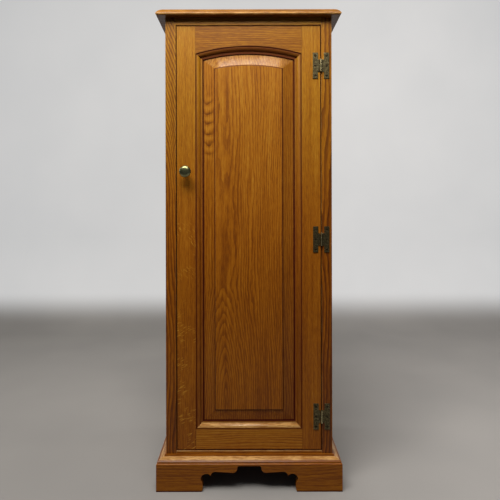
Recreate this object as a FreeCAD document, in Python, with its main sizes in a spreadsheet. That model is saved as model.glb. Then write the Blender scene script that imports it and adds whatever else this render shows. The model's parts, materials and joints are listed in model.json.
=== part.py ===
import FreeCAD, Part
import math
import os
import re

import Sketcher
from FreeCAD import Placement, Rotation, Vector

# A tall narrow oak cupboard with one framed door.
#
# X runs from left to right, Y from front to back and Z up. The origin lies on the floor, in the
# middle of the box that holds the whole cupboard, so it is halfway between the front of the knob
# and the back of the case. All lengths are in millimetres.

# The sizes that can be set, each written once: name, value, what it measures.
SIZES = [
    # the case
    ("overall_height", 1197, "floor to the upper face of the top board"),
    ("case_width", 417, "over the outsides of the two side boards"),
    ("case_depth", 338.5, "front of the face frame to the back of the case"),
    ("side_thickness", 18, "side boards"),
    ("bottom_thickness", 15, "bottom board"),
    ("housing_depth", 6, "groove in a side board that holds the bottom board"),
    ("back_thickness", 6, "back panel"),
    ("back_lap", 10, "how far the back panel laps on to each side board"),
    ("batten_thickness", 18, "battens under the top board"),
    ("batten_width", 60, "battens under the top board, front to back"),
    # the face frame
    ("frame_thickness", 20, "face frame"),
    ("stile_width", 26, "face frame stiles"),
    ("top_rail_height", 19, "face frame top rail"),
    ("bottom_rail_height", 26, "face frame bottom rail"),
    ("stub_length", 12, "stub tenons of the face frame rails"),
    ("stub_thickness", 7, "stub tenons, front to back"),
    ("stub_shoulder", 3, "shoulder above and below a stub tenon"),
    # the top board
    ("top_thickness", 20, "top board"),
    ("top_overhang", 21.5, "top board past the case, at the front and both sides"),
    ("nose_radius", 4.5, "small round under the top board's edge"),
    ("thumb_width", 21, "thumb moulding on the top board's edge"),
    ("thumb_radius", 30, "thumb moulding's curve"),
    # the plinth
    ("plinth_height", 84, "floor to the top of the plinth boards"),
    ("plinth_thickness", 21.5, "plinth boards, so also how far they stand proud of the case"),
    ("plinth_lap", 18, "how far the plinth boards come up past the underside of the case"),
    ("plinth_ledge", 3.5, "flat ledge along the plinth's top"),
    ("ledge_drop", 5.2, "step down from the ledge to the big round"),
    ("round_drop", 6.8, "fall of the big round of the plinth moulding"),
    ("step_drop", 3.2, "square step under the big round"),
    ("nosing_radius", 3, "small quarter round above the plinth's face"),
    ("foot_width", 115, "front feet, at their narrowest"),
    ("side_foot_width", 85, "feet seen from the side"),
    ("foot_swell", 2.5, "how far a foot's inner edge swells"),
    ("foot_curve", 34, "radius of a foot's swelling inner edge"),
    ("foot_edge_height", 25.5, "top of a foot's inner edge"),
    ("notch_reach", 5, "how far the round hollow cuts into the foot"),
    ("notch_height", 28, "where the round hollow starts"),
    ("hollow_radius", 14, "round hollow beside the foot"),
    ("cusp_inset", 20, "from the foot to the point between the two hollows"),
    ("cusp_height", 39, "height of that point"),
    ("small_hollow", 10.5, "radius of the small hollow"),
    ("shoulder_radius", 11.5, "rounded shoulder beside the raised middle"),
    ("crown_radius", 5, "inner corner of the raised middle"),
    ("crown_flat", 24.5, "half of the raised middle's flat"),
    ("crown_height", 63.5, "floor to the raised middle"),
    ("back_rail_thickness", 18, "plinth's back rail"),
    ("back_rail_rise", 20, "floor to the underside of the plinth's back rail"),
    ("block_size", 38, "corner blocks, in plan"),
    ("block_cut", 14, "corner cut off the inside of each block"),
    ("block_rise", 6, "floor to the underside of the corner blocks"),
    # the door
    ("door_thickness", 20, "door frame"),
    ("door_gap", 2, "gap round the door"),
    ("door_stile_width", 47.5, "flat of the door stiles"),
    ("door_bottom_width", 51, "flat of the door's bottom rail"),
    ("door_crown_width", 50, "flat of the door's top rail at the crown of its arch"),
    ("arch_radius", 464, "arch of the door's top rail, at the edge of its flat"),
    ("moulding_width", 18, "moulding on the inner edges of the door frame"),
    ("quirk_drop", 1.5, "small step at the moulding's outer edge"),
    ("quirk_width", 2.5, "flat of that step"),
    ("ovolo_width", 9.5, "round of the moulding"),
    ("ovolo_drop", 6, "fall of that round"),
    ("groove_front", 10, "face of the door to the front of the panel groove"),
    ("groove_width", 6, "panel groove"),
    ("groove_depth", 8, "panel groove"),
    ("panel_play", 1, "gap between the panel's edge and the bottom of its groove"),
    ("tongue_play", 0.3, "gap between the panel's tongue and each side of its groove"),
    ("bevel_width", 30.5, "sloping margin of the raised panel"),
    ("field_sink", 1, "face of the door to the raised field"),
    ("field_step", 1.5, "step round the raised field"),
    ("tenon_length", 30, "tenons of the door rails"),
    ("tenon_shoulder", 10, "shoulder above and below a door tenon"),
    # the hinges
    ("leaf_height", 65, "hinge leaves"),
    ("leaf_width", 13, "hinge leaves, without the neck"),
    ("leaf_thickness", 1.8, "hinge leaves"),
    ("neck_width", 15, "gap between the two leaves, which the necks and barrel bridge"),
    ("barrel_height", 31, "hinge barrel"),
    ("barrel_radius", 3, "hinge barrel"),
    ("barrel_gap", 0.2, "hinge barrel to the face of the wood"),
    ("outer_knuckle", 10, "each of the two knuckles on the frame's leaf"),
    ("knuckle_gap", 0.3, "between neighbouring knuckles, and between a neck and a knuckle"),
    ("pin_radius", 1.5, "hinge pin"),
    ("pin_clearance", 0.05, "hinge pin in its knuckles"),
    ("pin_proud", 0.6, "hinge pin, out of each end of its barrel"),
    ("upper_hinge_drop", 100, "top of the door to the middle of the upper hinge"),
    ("middle_hinge_rise", 526.5, "bottom of the door to the middle of the middle hinge"),
    ("lower_hinge_rise", 82.7, "bottom of the door to the middle of the lower hinge"),
    ("hinge_screw_pitch", 25, "between the screws of a leaf"),
    # screws
    ("screw_radius", 1.5, "shank of the wood screws"),
    ("screw_head_radius", 3, "countersunk heads"),
    ("screw_hole_clearance", 0.15, "round a screw in metal or plastic"),
    ("hinge_screw_length", 14, "screws of the hinges"),
    ("small_screw_length", 12, "screws of the catch and its strike plate"),
    ("back_screw_length", 22, "screws of the back panel"),
    ("top_screw_length", 32, "screws that hold the top board"),
    ("plinth_screw_length", 85, "screws that hold the case to the plinth's blocks"),
    ("back_screw_inset", 60, "back panel's end screws to the panel's ends"),
    ("top_screw_inset", 50, "top board's outer screws to the side boards"),
    # the knob
    ("knob_rise", 696, "bottom of the door to the knob"),
    ("knob_projection", 30, "knob, out from the face of the door"),
    ("knob_radius", 14.5, "rim of the knob"),
    ("knob_dome", 7, "rise of the knob's domed front"),
    ("knob_face_radius", 9, "flat middle of the knob's front"),
    ("knob_rim", 1.5, "edge of the knob's rim"),
    ("knob_neck_radius", 4.5, "neck of the knob"),
    ("knob_base_radius", 8, "foot of the knob"),
    ("knob_base_height", 2.5, "foot of the knob"),
    ("knob_screw_radius", 2, "screw that holds the knob"),
    ("knob_screw_reach", 14, "depth of the knob's threaded hole"),
    ("knob_screw_clearance", 0.4, "round that screw in the stile"),
    ("knob_screw_head_radius", 4.5, "head of that screw"),
    ("knob_screw_head_height", 2.6, "head of that screw"),
    ("thread_clearance", 0.05, "between that screw and the knob's hole"),
    ("thread_bottom_gap", 2, "end of that screw to the bottom of the knob's hole"),
    # the shelves
    ("shelf_thickness", 15, "shelves"),
    ("shelf_side_gap", 1, "gap at each end of a shelf"),
    ("shelf_setback", 12, "back of the door to the shelf's front edge"),
    ("shelf_back_gap", 2, "gap behind a shelf"),
    ("lower_shelf_rise", 256, "bottom board to the underside of the lower shelf"),
    ("middle_shelf_rise", 527, "bottom board to the underside of the middle shelf"),
    ("upper_shelf_rise", 798, "bottom board to the underside of the upper shelf"),
    ("stud_radius", 2.5, "shelf studs"),
    ("stud_reach", 11, "shelf studs, out of the side board"),
    ("stud_depth", 9, "shelf studs, into the side board"),
    ("stud_flange_radius", 4, "flange of a shelf stud"),
    ("stud_flange_height", 0.8, "flange of a shelf stud"),
    ("stud_clearance", 0.1, "shelf stud in its hole"),
    ("stud_end_gap", 2, "end of a stud to the bottom of its hole"),
    ("stud_inset", 45, "shelf's front and back edges to its studs"),
    ("stud_seat_gap", 0.2, "stud to the underside of the shelf"),
    ("stud_hole_pitch", 32, "between the holes for the studs"),
    # the magnetic catch
    ("catch_inset", 6, "lock stile to the catch's strike plate"),
    ("catch_width", 26, "catch housing"),
    ("catch_depth", 30, "catch housing"),
    ("catch_height", 18, "catch housing"),
    ("ear_width", 9, "fixing ears of the catch"),
    ("ear_thickness", 3, "fixing ears of the catch"),
    ("ear_depth", 18, "fixing ears of the catch"),
    ("magnet_width", 20, "magnet and its pole plates"),
    ("magnet_thickness", 5, "magnet"),
    ("pole_thickness", 1.5, "each pole plate"),
    ("magnet_depth", 14, "magnet and its pole plates, inside the housing"),
    ("magnet_proud", 1.5, "pole plates, out of the housing"),
    ("magnet_gap", 0.3, "pole plates to the strike plate"),
    ("magnet_play", 0.2, "round the magnet in its housing"),
    ("strike_width", 38, "strike plate"),
    ("strike_height", 10, "strike plate"),
    ("strike_thickness", 1.8, "strike plate"),
    ("strike_screw_offset", 14, "middle of the strike plate to each of its screws"),
    # for making
    ("overrun", 2, "how far a cutting shape runs past what it cuts"),
]

# Places worked out from the sizes: name, formula, what it is.
PLACES = [
    ("front_face", "(knob_projection - case_depth) / 2", "front of the face frame and the door"),
    ("frame_back", "front_face + frame_thickness", "back of the face frame"),
    ("door_back", "front_face + door_thickness", "back of the door"),
    ("back_face", "front_face + case_depth", "back of the case"),
    ("back_front", "back_face - back_thickness", "front of the back panel"),
    ("case_half", "case_width / 2", "middle to the outside of a side board"),
    ("inner_half", "case_half - side_thickness", "middle to the inside of a side board"),
    ("opening_half", "case_half - stile_width", "middle to the inside of a face frame stile"),
    ("back_half", "inner_half + back_lap", "middle to the edge of the back panel"),
    ("case_bottom", "plinth_height - plinth_lap", "underside of the case"),
    ("case_top", "overall_height - top_thickness", "top of the case"),
    ("opening_bottom", "case_bottom + bottom_rail_height", "top of the face frame's bottom rail"),
    ("opening_top", "case_top - top_rail_height", "underside of the face frame's top rail"),
    ("inner_floor", "opening_bottom", "upper face of the bottom board, level with its rail"),
    ("batten_low", "case_top - batten_thickness", "underside of the battens"),
    ("top_half", "case_half + top_overhang", "middle to the side edge of the top board"),
    ("top_front", "front_face - top_overhang", "front edge of the top board"),
    ("plinth_half", "case_half + plinth_thickness", "middle to the outside of the plinth"),
    ("plinth_front", "front_face - plinth_thickness", "front of the plinth"),
    ("plinth_middle", "(plinth_front + back_face) / 2", "middle of the plinth's side boards"),
    ("back_rail_front", "back_face - back_rail_thickness", "front of the plinth's back rail"),
    ("door_half", "opening_half - door_gap", "middle to the edge of the door"),
    ("door_bottom", "opening_bottom + door_gap", "underside of the door"),
    ("door_top", "opening_top - door_gap", "top of the door"),
    ("rail_half", "door_half - door_stile_width", "middle to the flat edge of a door stile"),
    ("sight_half", "rail_half - moulding_width", "middle to the panel's visible edge"),
    ("flat_top", "door_bottom + door_bottom_width", "flat edge of the door's bottom rail"),
    ("sight_bottom", "flat_top + moulding_width", "lower edge of the visible panel"),
    ("arch_crown", "door_top - door_crown_width", "flat edge of the top rail, at its crown"),
    ("arch_middle", "arch_crown - arch_radius", "centre of all the arches"),
    ("sight_radius", "arch_radius - moulding_width", "arch of the panel's visible edge"),
    ("spring_outer", "arch_middle + sqrt(arch_radius^2 - rail_half^2)", "ends of the outer arch"),
    ("spring_inner", "arch_middle + sqrt(sight_radius^2 - sight_half^2)", "ends of the inner arch"),
    ("tenon_front", "front_face + groove_front", "front of the door's tenons"),
    ("tenon_back", "tenon_front + groove_width", "back of the door's tenons"),
    ("tongue_front", "tenon_front + tongue_play", "front of the panel's tongue"),
    ("tongue_thickness", "groove_width - 2 * tongue_play", "the panel's tongue"),
    ("field_face", "front_face + field_sink", "front of the raised field"),
    ("bevel_top", "field_face + field_step", "where the bevel meets the field's step"),
    ("hinge_x", "opening_half - door_gap / 2", "hinge pins, over the gap beside the door"),
    ("hinge_y", "front_face - barrel_radius - barrel_gap", "hinge pins"),
    ("upper_hinge_z", "door_top - upper_hinge_drop", "middle of the upper hinge"),
    ("middle_hinge_z", "door_bottom + middle_hinge_rise", "middle of the middle hinge"),
    ("lower_hinge_z", "door_bottom + lower_hinge_rise", "middle of the lower hinge"),
    ("leaf_back", "barrel_radius + barrel_gap", "back of a leaf, from the pin"),
    ("leaf_front", "leaf_back - leaf_thickness", "front of a leaf, from the pin"),
    ("neck_half", "neck_width / 2", "pin to the wide part of a leaf"),
    ("neck_start", "barrel_radius + knuckle_gap", "pin to the end of a neck"),
    ("barrel_half", "barrel_height / 2", "middle of a hinge to the end of its barrel"),
    ("knuckle_half", "barrel_half - outer_knuckle - knuckle_gap", "half of the door's knuckle"),
    ("leaf_screw_x", "neck_half + leaf_width / 2", "pin to a leaf's screws"),
    ("screw_head_height", "leaf_thickness", "countersunk heads, as deep as a leaf is thick"),
    ("knob_x", "(door_half + rail_half) / 2", "middle to the knob, on the lock stile's centre line"),
    ("knob_z", "door_bottom + knob_rise", "height of the knob"),
    ("shelf_front", "frame_back + shelf_setback", "front edge of the shelves"),
    ("shelf_back", "back_front - shelf_back_gap", "back edge of the shelves"),
    ("catch_middle", "catch_inset + strike_width / 2 - rail_half", "middle of the catch"),
    ("catch_low", "batten_low - catch_height", "underside of the catch"),
    ("pole_front", "door_back + strike_thickness + magnet_gap", "front of the pole plates"),
    ("catch_front", "pole_front + magnet_proud", "front of the catch housing"),
    ("magnet_z", "catch_low + catch_height / 2", "middle of the magnet"),
]

LEFT, RIGHT = -1, 1

doc = FreeCAD.newDocument("Cupboard")


def fill_sheet(name, rows, as_formula):
    """Write one sheet: the meaning in column A, the value in column B under its name."""
    sheet = doc.addObject("Spreadsheet::Sheet", name)
    for row, (alias, value, meaning) in enumerate(rows, start=1):
        sheet.set(f"A{row}", meaning)
        sheet.set(f"B{row}", "=" + qualified(value) if as_formula else str(value))
        sheet.setAlias(f"B{row}", alias)
        SHEET_OF[alias] = name
    doc.recompute()
    return sheet


def qualified(text):
    """Put the sheet's name before each size or place that a formula names."""
    def with_sheet(match):
        word = match.group(0)
        return f"{SHEET_OF[word]}.{word}" if word in SHEET_OF else word
    return re.sub(r"[a-z][a-z_]*", with_sheet, text)


SHEET_OF = {}
sizes = fill_sheet("Sizes", SIZES, as_formula=False)
fill_sheet("Places", PLACES, as_formula=True)


def measure(formula):
    """The value of a formula, for first guesses and for shapes made by hand."""
    return float(sizes.evalExpression(qualified(formula)))


# Drawing

def new_body(label):
    body = doc.addObject("PartDesign::Body", label)
    body.Label = label
    return body


def new_sketch(body, plane, at):
    """A sketch parallel to one of the body's planes, at a place along the third axis."""
    sketch = body.newObject("Sketcher::SketchObject", body.Label + "_sketch")
    origin_plane = next(item for item in body.Origin.OriginFeatures if item.Role == plane)
    sketch.AttachmentSupport = [(origin_plane, "")]
    sketch.MapMode = "FlatFace"
    # the upright plane that faces the front has its normal towards -Y
    away = f"-({at})" if plane == "XZ_Plane" else at
    sketch.setExpression("AttachmentOffset.Base.z", qualified(away))
    return sketch


def add_bound(sketch, wanted):
    """Add constraints given as (constraint, formula), each bound to its formula."""
    first = sketch.ConstraintCount
    sketch.addConstraint([constraint for constraint, formula in wanted])
    for index, (constraint, formula) in enumerate(wanted, start=first):
        if formula is not None:
            sketch.setExpression(f"Constraints[{index}]", qualified(formula))


def bent_edge(here, there, radius, turn):
    """An arc of less than half a circle: it turns left where turn is 1 and right where it is -1."""
    middle = (here + there) * 0.5
    chord = there - here
    to_left = Vector(-chord.y, chord.x, 0).normalize()
    height = math.sqrt(radius ** 2 - (chord.Length / 2) ** 2)
    centre = middle + to_left * height * turn
    start, end = (here, there) if turn > 0 else (there, here)
    angles = [math.atan2(point.y - centre.y, point.x - centre.x) for point in (start, end)]
    return Part.ArcOfCircle(Part.Circle(centre, Vector(0, 0, 1), radius), *angles)


def outline(body, plane, at, *loops):
    """Closed outlines whose corners stand at named places.

    A corner is (across, up), or (across, up, radius, turn) where the edge that leaves it is an arc.
    """
    sketch = new_sketch(body, plane, at)
    for corners in loops:
        draw_loop(sketch, corners)
    return sketch


def draw_loop(sketch, corners):
    points = [Vector(measure(corner[0]), measure(corner[1]), 0) for corner in corners]
    wanted = []
    ends = []
    for corner, here, there in zip(corners, points, points[1:] + points[:1]):
        if len(corner) == 2:
            edge = sketch.addGeometry(Part.LineSegment(here, there))
            ends.append((edge, 1, 2))
            continue
        radius, turn = corner[2:]
        edge = sketch.addGeometry(bent_edge(here, there, measure(radius), turn))
        ends.append((edge, 1, 2) if turn > 0 else (edge, 2, 1))
        wanted.append((Sketcher.Constraint("Radius", edge, measure(radius)), radius))
    for number, (edge, start, end) in enumerate(ends):
        across, up = corners[number][:2]
        place = points[number]
        following = ends[(number + 1) % len(ends)]
        wanted.append((Sketcher.Constraint("DistanceX", -1, 1, edge, start, place.x), across))
        wanted.append((Sketcher.Constraint("DistanceY", -1, 1, edge, start, place.y), up))
        wanted.append((Sketcher.Constraint("Coincident", edge, end, *following[:2]), None))
    add_bound(sketch, wanted)


def circle(body, at, radius):
    """A level circle round the body's own Z."""
    sketch = new_sketch(body, "XY_Plane", at)
    edge = sketch.addGeometry(Part.Circle(Vector(0, 0, 0), Vector(0, 0, 1), measure(radius)))
    add_bound(sketch, [
        (Sketcher.Constraint("Coincident", edge, 3, -1, 1), None),
        (Sketcher.Constraint("Radius", edge, measure(radius)), radius),
    ])
    return sketch


def rectangle(left, right, low, high):
    return [(left, low), (right, low), (right, high), (left, high)]


# Making

def finish(body, feature, grows):
    """Work the feature out, and stop if it added or took away nothing."""
    before = 0 if body.Shape.isNull() else body.Shape.Volume
    doc.recompute()
    change = body.Shape.Volume - before
    if (change <= 0) if grows else (change >= 0):
        raise ValueError(f"{feature.Label} of {body.Label} changes nothing")
    return feature


def pad(body, sketch, length):
    """Pad an outline towards +X, +Y or +Z."""
    feature = body.newObject("PartDesign::Pad", body.Label + "_pad")
    feature.Profile = sketch
    feature.setExpression("Length", qualified(length))
    feature.Reversed = "XZ_Plane" in sketch.AttachmentSupport[0][0].Role
    return finish(body, feature, grows=True)


def pad_both_ways(body, sketch, reach):
    """Pad an outline by the same reach on both sides of its plane."""
    feature = body.newObject("PartDesign::Pad", body.Label + "_pad")
    feature.Profile = sketch
    feature.SideType = "Symmetric"
    feature.setExpression("Length", qualified(f"2 * ({reach})"))
    return finish(body, feature, grows=True)


def cut_into(body, sketch, depth):
    """Cut an outline to a depth, from the face that its plane lies on."""
    feature = body.newObject("PartDesign::Pocket", body.Label + "_cut")
    feature.Profile = sketch
    feature.SideType = "Symmetric"
    feature.setExpression("Length", qualified(f"2 * ({depth})"))
    return finish(body, feature, grows=False)


def cut_through(body, sketch):
    """Cut an outline right through, both ways."""
    feature = body.newObject("PartDesign::Pocket", body.Label + "_cut")
    feature.Profile = sketch
    feature.Type = "ThroughAll"
    feature.SideType = "Symmetric"
    return finish(body, feature, grows=False)


def turn_round(body, sketch, axis):
    """Revolve an outline right round one of its sketch's axes."""
    feature = body.newObject("PartDesign::Revolution", body.Label + "_turning")
    feature.Profile = sketch
    feature.ReferenceAxis = (sketch, [axis])
    return finish(body, feature, grows=True)


def board(label, across, deep, high):
    """A plain board: each argument is (from, to)."""
    body = new_body(label)
    plan = outline(body, "XY_Plane", high[0], rectangle(*across, *deep))
    pad(body, plan, f"({high[1]}) - ({high[0]})")
    return body


def place_at(item, x, y, z):
    for axis, place in zip("xyz", (x, y, z)):
        item.setExpression(f"Placement.Base.{axis}", qualified(place))


# Small repeated things

# Screws, studs and their holes repeat many times, so they have eight flat sides to keep them light.
SIDES = 8
FRONTWARD, BACKWARD, DOWNWARD = Vector(0, -1, 0), Vector(0, 1, 0), Vector(0, 0, -1)


def faceted(stages):
    """A closed eight-sided solid round Z: stages are (radius, height), from one end to the other."""
    rings = [ring(measure(radius), measure(height)) for radius, height in stages]
    outlines = [rings[0], rings[-1]]
    for lower, upper in zip(rings, rings[1:]):
        for side in range(SIDES):
            beside = (side + 1) % SIDES
            outlines.append([lower[side], lower[beside], upper[beside], upper[side]])
    faces = [Part.Face(Part.makePolygon(corners + corners[:1])) for corners in outlines]
    shell = Part.makeShell(faces)
    shell.sewShape()
    solid = Part.makeSolid(shell)
    if solid.Volume < 0:
        solid.reverse()
    return solid


def ring(radius, height):
    """The corners of one stage, with a flat side towards each axis."""
    turns = [360 * (side + 0.5) / SIDES for side in range(SIDES)]
    return [Rotation(Vector(0, 0, 1), turn).multVec(Vector(radius, 0, height)) for turn in turns]


def repeated(solid, outward, spots):
    """Copies of a solid whose Z points outward, at spots given as formulas (x, y, z)."""
    copies = []
    for spot in spots:
        copy = solid.copy()
        where = Vector(*[measure(place) for place in spot])
        copy.Placement = Placement(where, Rotation(Vector(0, 0, 1), outward))
        copies.append(copy)
    return copies


def grouped(label, solids):
    """Separate solids under one name."""
    item = doc.addObject("Part::Feature", label)
    item.Label = label
    item.Shape = Part.makeCompound(solids)
    return item


def drilled(label, blank, holes):
    """A piece made from its blank by taking the holes out."""
    piece = doc.addObject("Part::Cut", label)
    piece.Label = label
    piece.Base = blank
    piece.Tool = grouped(label + "_holes", holes)
    doc.recompute()
    if piece.Shape.Volume >= blank.Shape.Volume:
        raise ValueError(f"the holes of {label} miss it")
    return piece


def plain_hole(radius, depth):
    return faceted([(radius, f"-({depth})"), (radius, "overrun")])


def countersunk_hole():
    """Through a hinge leaf, for a screw whose head fills the leaf's thickness."""
    shank, head = "screw_radius + screw_hole_clearance", "screw_head_radius + screw_hole_clearance"
    return faceted([
        (shank, "-(screw_head_height + overrun)"),
        (shank, "-screw_head_height"),
        (head, "0"),
        (head, "overrun"),
    ])


def screws(label, length, outward, spots):
    """Countersunk screws with the flats of their heads at the spots."""
    screw = faceted([
        ("screw_radius", f"-{length}"), ("screw_radius", "-screw_head_height"), ("screw_head_radius", "0"),
    ])
    return grouped(label, repeated(screw, outward, spots))


# The case

def side_board(label, hand):
    """A side board with its rebate, its housing and the holes for the shelf studs."""
    blank = board(
        label + "_blank",
        (f"{hand} * case_half", f"{hand} * inner_half"),
        ("frame_back", "back_face"),
        ("case_bottom", "case_top"),
    )
    rebate = rectangle(
        f"{hand} * back_half", f"{hand} * (inner_half - overrun)",
        "back_front", "back_face + overrun",
    )
    cut_through(blank, outline(blank, "XY_Plane", "case_bottom", rebate))
    housing = rectangle(
        "frame_back - overrun", "back_front + overrun", "inner_floor - bottom_thickness", "inner_floor",
    )
    cut_into(blank, outline(blank, "YZ_Plane", f"{hand} * inner_half", housing), "housing_depth")
    spots = [
        (f"{hand} * inner_half", deep, f"{high} + {step} * stud_hole_pitch")
        for high in stud_heights()
        for deep in STUD_DEPTHS
        for step in (-1, 0, 1)
    ]
    hole = plain_hole("stud_radius + stud_clearance", "stud_depth + stud_end_gap")
    return drilled(label, blank, repeated(hole, inward(hand), spots))


def inward(hand):
    return Vector(-hand, 0, 0)


SHELF_RISES = ("lower_shelf_rise", "middle_shelf_rise", "upper_shelf_rise")
STUD_DEPTHS = ("shelf_front + stud_inset", "shelf_back - stud_inset")


def stud_heights():
    return [f"inner_floor + {rise} - stud_radius - stud_seat_gap" for rise in SHELF_RISES]


side_board("left_side_board", LEFT)
side_board("right_side_board", RIGHT)

board(
    "bottom_board",
    ("-(inner_half + housing_depth)", "inner_half + housing_depth"),
    ("frame_back", "back_front"),
    ("inner_floor - bottom_thickness", "inner_floor"),
)
board(
    "back_panel", ("-back_half", "back_half"), ("back_front", "back_face"), ("case_bottom", "case_top"),
)
board(
    "front_top_batten",
    ("-inner_half", "inner_half"),
    ("frame_back", "frame_back + batten_width"),
    ("batten_low", "case_top"),
)
board(
    "back_top_batten",
    ("-inner_half", "inner_half"),
    ("back_front - batten_width", "back_front"),
    ("batten_low", "case_top"),
)


# The face frame

STUB_DEEP = (
    "front_face + (frame_thickness - stub_thickness) / 2",
    "front_face + (frame_thickness + stub_thickness) / 2",
)
TOP_STUB = ("opening_top + stub_shoulder", "case_top - stub_shoulder")
BOTTOM_STUB = ("case_bottom + stub_shoulder", "opening_bottom - stub_shoulder")


def front_stile(label, hand):
    """An upright of the face frame, with a mortise for each rail."""
    body = board(
        label,
        (f"{hand} * case_half", f"{hand} * opening_half"),
        ("front_face", "frame_back"),
        ("case_bottom", "case_top"),
    )
    for stub in (TOP_STUB, BOTTOM_STUB):
        mortise = outline(body, "YZ_Plane", f"{hand} * opening_half", rectangle(*STUB_DEEP, *stub))
        cut_into(body, mortise, "stub_length")
    return body


def front_rail(label, low, high, stub):
    """A rail of the face frame, with a stub tenon at each end."""
    body = board(label, ("-opening_half", "opening_half"), ("front_face", "frame_back"), (low, high))
    tenons = outline(body, "YZ_Plane", "0", rectangle(*STUB_DEEP, *stub))
    pad_both_ways(body, tenons, "opening_half + stub_length")
    return body


front_stile("left_front_stile", LEFT)
front_stile("right_front_stile", RIGHT)
front_rail("top_front_rail", "opening_top", "case_top", TOP_STUB)
front_rail("bottom_front_rail", "case_bottom", "opening_bottom", BOTTOM_STUB)


# The top board

def top_board():
    """The top, with a thumb moulding over a small round, run along its front and both sides."""
    body = board(
        "top_board", ("-top_half", "top_half"), ("top_front", "back_face"), ("case_top", "overall_height"),
    )
    for waste in (thumb_waste, nose_waste):
        cut_through(body, outline(body, "YZ_Plane", "0", waste("top_front", LEFT)))
        for hand in (LEFT, RIGHT):
            cut_through(body, outline(body, "XZ_Plane", "0", waste(f"{hand} * top_half", hand)))
    return body


def thumb_waste(edge, hand):
    """What the moulding cutter takes off above an edge that faces left or right in the section."""
    return [
        (edge, "case_top + nose_radius", "thumb_radius", hand),
        (f"{edge} - {hand} * thumb_width", "overall_height"),
        (f"{edge} - {hand} * thumb_width", "overall_height + overrun"),
        (f"{edge} + {hand} * overrun", "overall_height + overrun"),
        (f"{edge} + {hand} * overrun", "case_top + nose_radius"),
    ]


def nose_waste(edge, hand):
    """What is rounded off under the same edge."""
    return [
        (edge, "case_top + nose_radius", "nose_radius", -hand),
        (f"{edge} - {hand} * nose_radius", "case_top"),
        (f"{edge} - {hand} * nose_radius", "case_top - overrun"),
        (f"{edge} + {hand} * overrun", "case_top - overrun"),
        (f"{edge} + {hand} * overrun", "case_top + nose_radius"),
    ]


top_board()


# The plinth

def plinth_section(wall, hand):
    """Section of a plinth board whose inner face lies on a wall of the case."""
    round_width = "(plinth_thickness - plinth_ledge - nosing_radius)"
    round_radius = f"({round_width}^2 + round_drop^2) / (2 * round_drop)"
    round_top = "plinth_height - ledge_drop"
    round_foot = f"{round_top} - round_drop"
    nosing_top = f"{round_foot} - step_drop"
    ledge_edge = f"{wall} + {hand} * plinth_ledge"
    round_edge = f"{wall} + {hand} * (plinth_thickness - nosing_radius)"
    face = f"{wall} + {hand} * plinth_thickness"
    return [
        (wall, "plinth_height"),
        (ledge_edge, "plinth_height"),
        (ledge_edge, round_top, round_radius, -hand),
        (round_edge, round_foot),
        (round_edge, nosing_top, "nosing_radius", -hand),
        (face, f"{nosing_top} - nosing_radius"),
        (face, "0"),
        (wall, "0"),
    ]


def scroll(middle, half):
    """The shaped gap between two feet: one half drawn from the floor up, the other mirrored."""
    shoulder = "crown_height - crown_radius"
    one_side = [
        (f"{half} + foot_swell", "-overrun"),
        (f"{half} + foot_swell", "0", "foot_curve", -1),
        (f"{half} + foot_swell", "foot_edge_height"),
        (f"{half} + notch_reach", "notch_height", "hollow_radius", 1),
        (f"{half} - cusp_inset", "cusp_height", "small_hollow", 1),
        (f"{half} - cusp_inset - small_hollow", "cusp_height + small_hollow"),
        ("crown_flat + crown_radius + shoulder_radius", f"{shoulder} - shoulder_radius",
         "shoulder_radius", -1),
        ("crown_flat + crown_radius", shoulder, "crown_radius", 1),
        ("crown_flat", "crown_height"),
    ]
    right = [(f"{middle} + ({x})", z, *bend) for x, z, *bend in one_side]
    left = []
    for number in reversed(range(len(one_side))):
        x, z = one_side[number][:2]
        # going back down, an edge has the bend of the edge that came up to this corner
        bend = one_side[number - 1][2:] if number else ()
        left.append((f"{middle} - ({x})", z, *bend))
    return right + left


def plinth_front_board():
    body = new_body("plinth_front_board")
    section = outline(body, "YZ_Plane", "0", plinth_section("front_face", LEFT))
    pad_both_ways(body, section, "plinth_half")
    for hand in (LEFT, RIGHT):
        mitre = [
            (f"{hand} * case_half", "front_face"),
            (f"{hand} * plinth_half", "plinth_front"),
            (f"{hand} * (plinth_half + overrun)", "plinth_front"),
            (f"{hand} * (plinth_half + overrun)", "front_face"),
        ]
        cut_through(body, outline(body, "XY_Plane", "0", mitre))
    gap = scroll("0", "(plinth_half - foot_width)")
    cut_through(body, outline(body, "XZ_Plane", "0", gap))
    return body


def plinth_side_board(label, hand):
    body = new_body(label)
    section = outline(body, "XZ_Plane", "plinth_front", plinth_section(f"{hand} * case_half", hand))
    pad(body, section, "back_face - plinth_front")
    mitre = [
        (f"{hand} * case_half", "front_face"),
        (f"{hand} * plinth_half", "plinth_front"),
        (f"{hand} * case_half", "plinth_front"),
    ]
    cut_through(body, outline(body, "XY_Plane", "0", mitre))
    gap = scroll("plinth_middle", "(plinth_middle - plinth_front - side_foot_width)")
    cut_through(body, outline(body, "YZ_Plane", "0", gap))
    return body


def corner_block(side, wall, into):
    """One glue block in the corner of a side and a wall, with its inner corner cut off."""
    outer = f"{side} * case_half"
    inner = f"{side} * (case_half - block_size)"
    far = f"{wall} + {into} * block_size"
    plan = [
        (outer, wall),
        (inner, wall),
        (inner, f"{far} - {into} * block_cut"),
        (f"{inner} + {side} * block_cut", far),
        (outer, far),
    ]
    low = measure("block_rise")
    corners = [Vector(measure(x), measure(y), low) for x, y in plan]
    face = Part.Face(Part.makePolygon(corners + corners[:1]))
    return face.extrude(Vector(0, 0, measure("case_bottom") - low))


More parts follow.
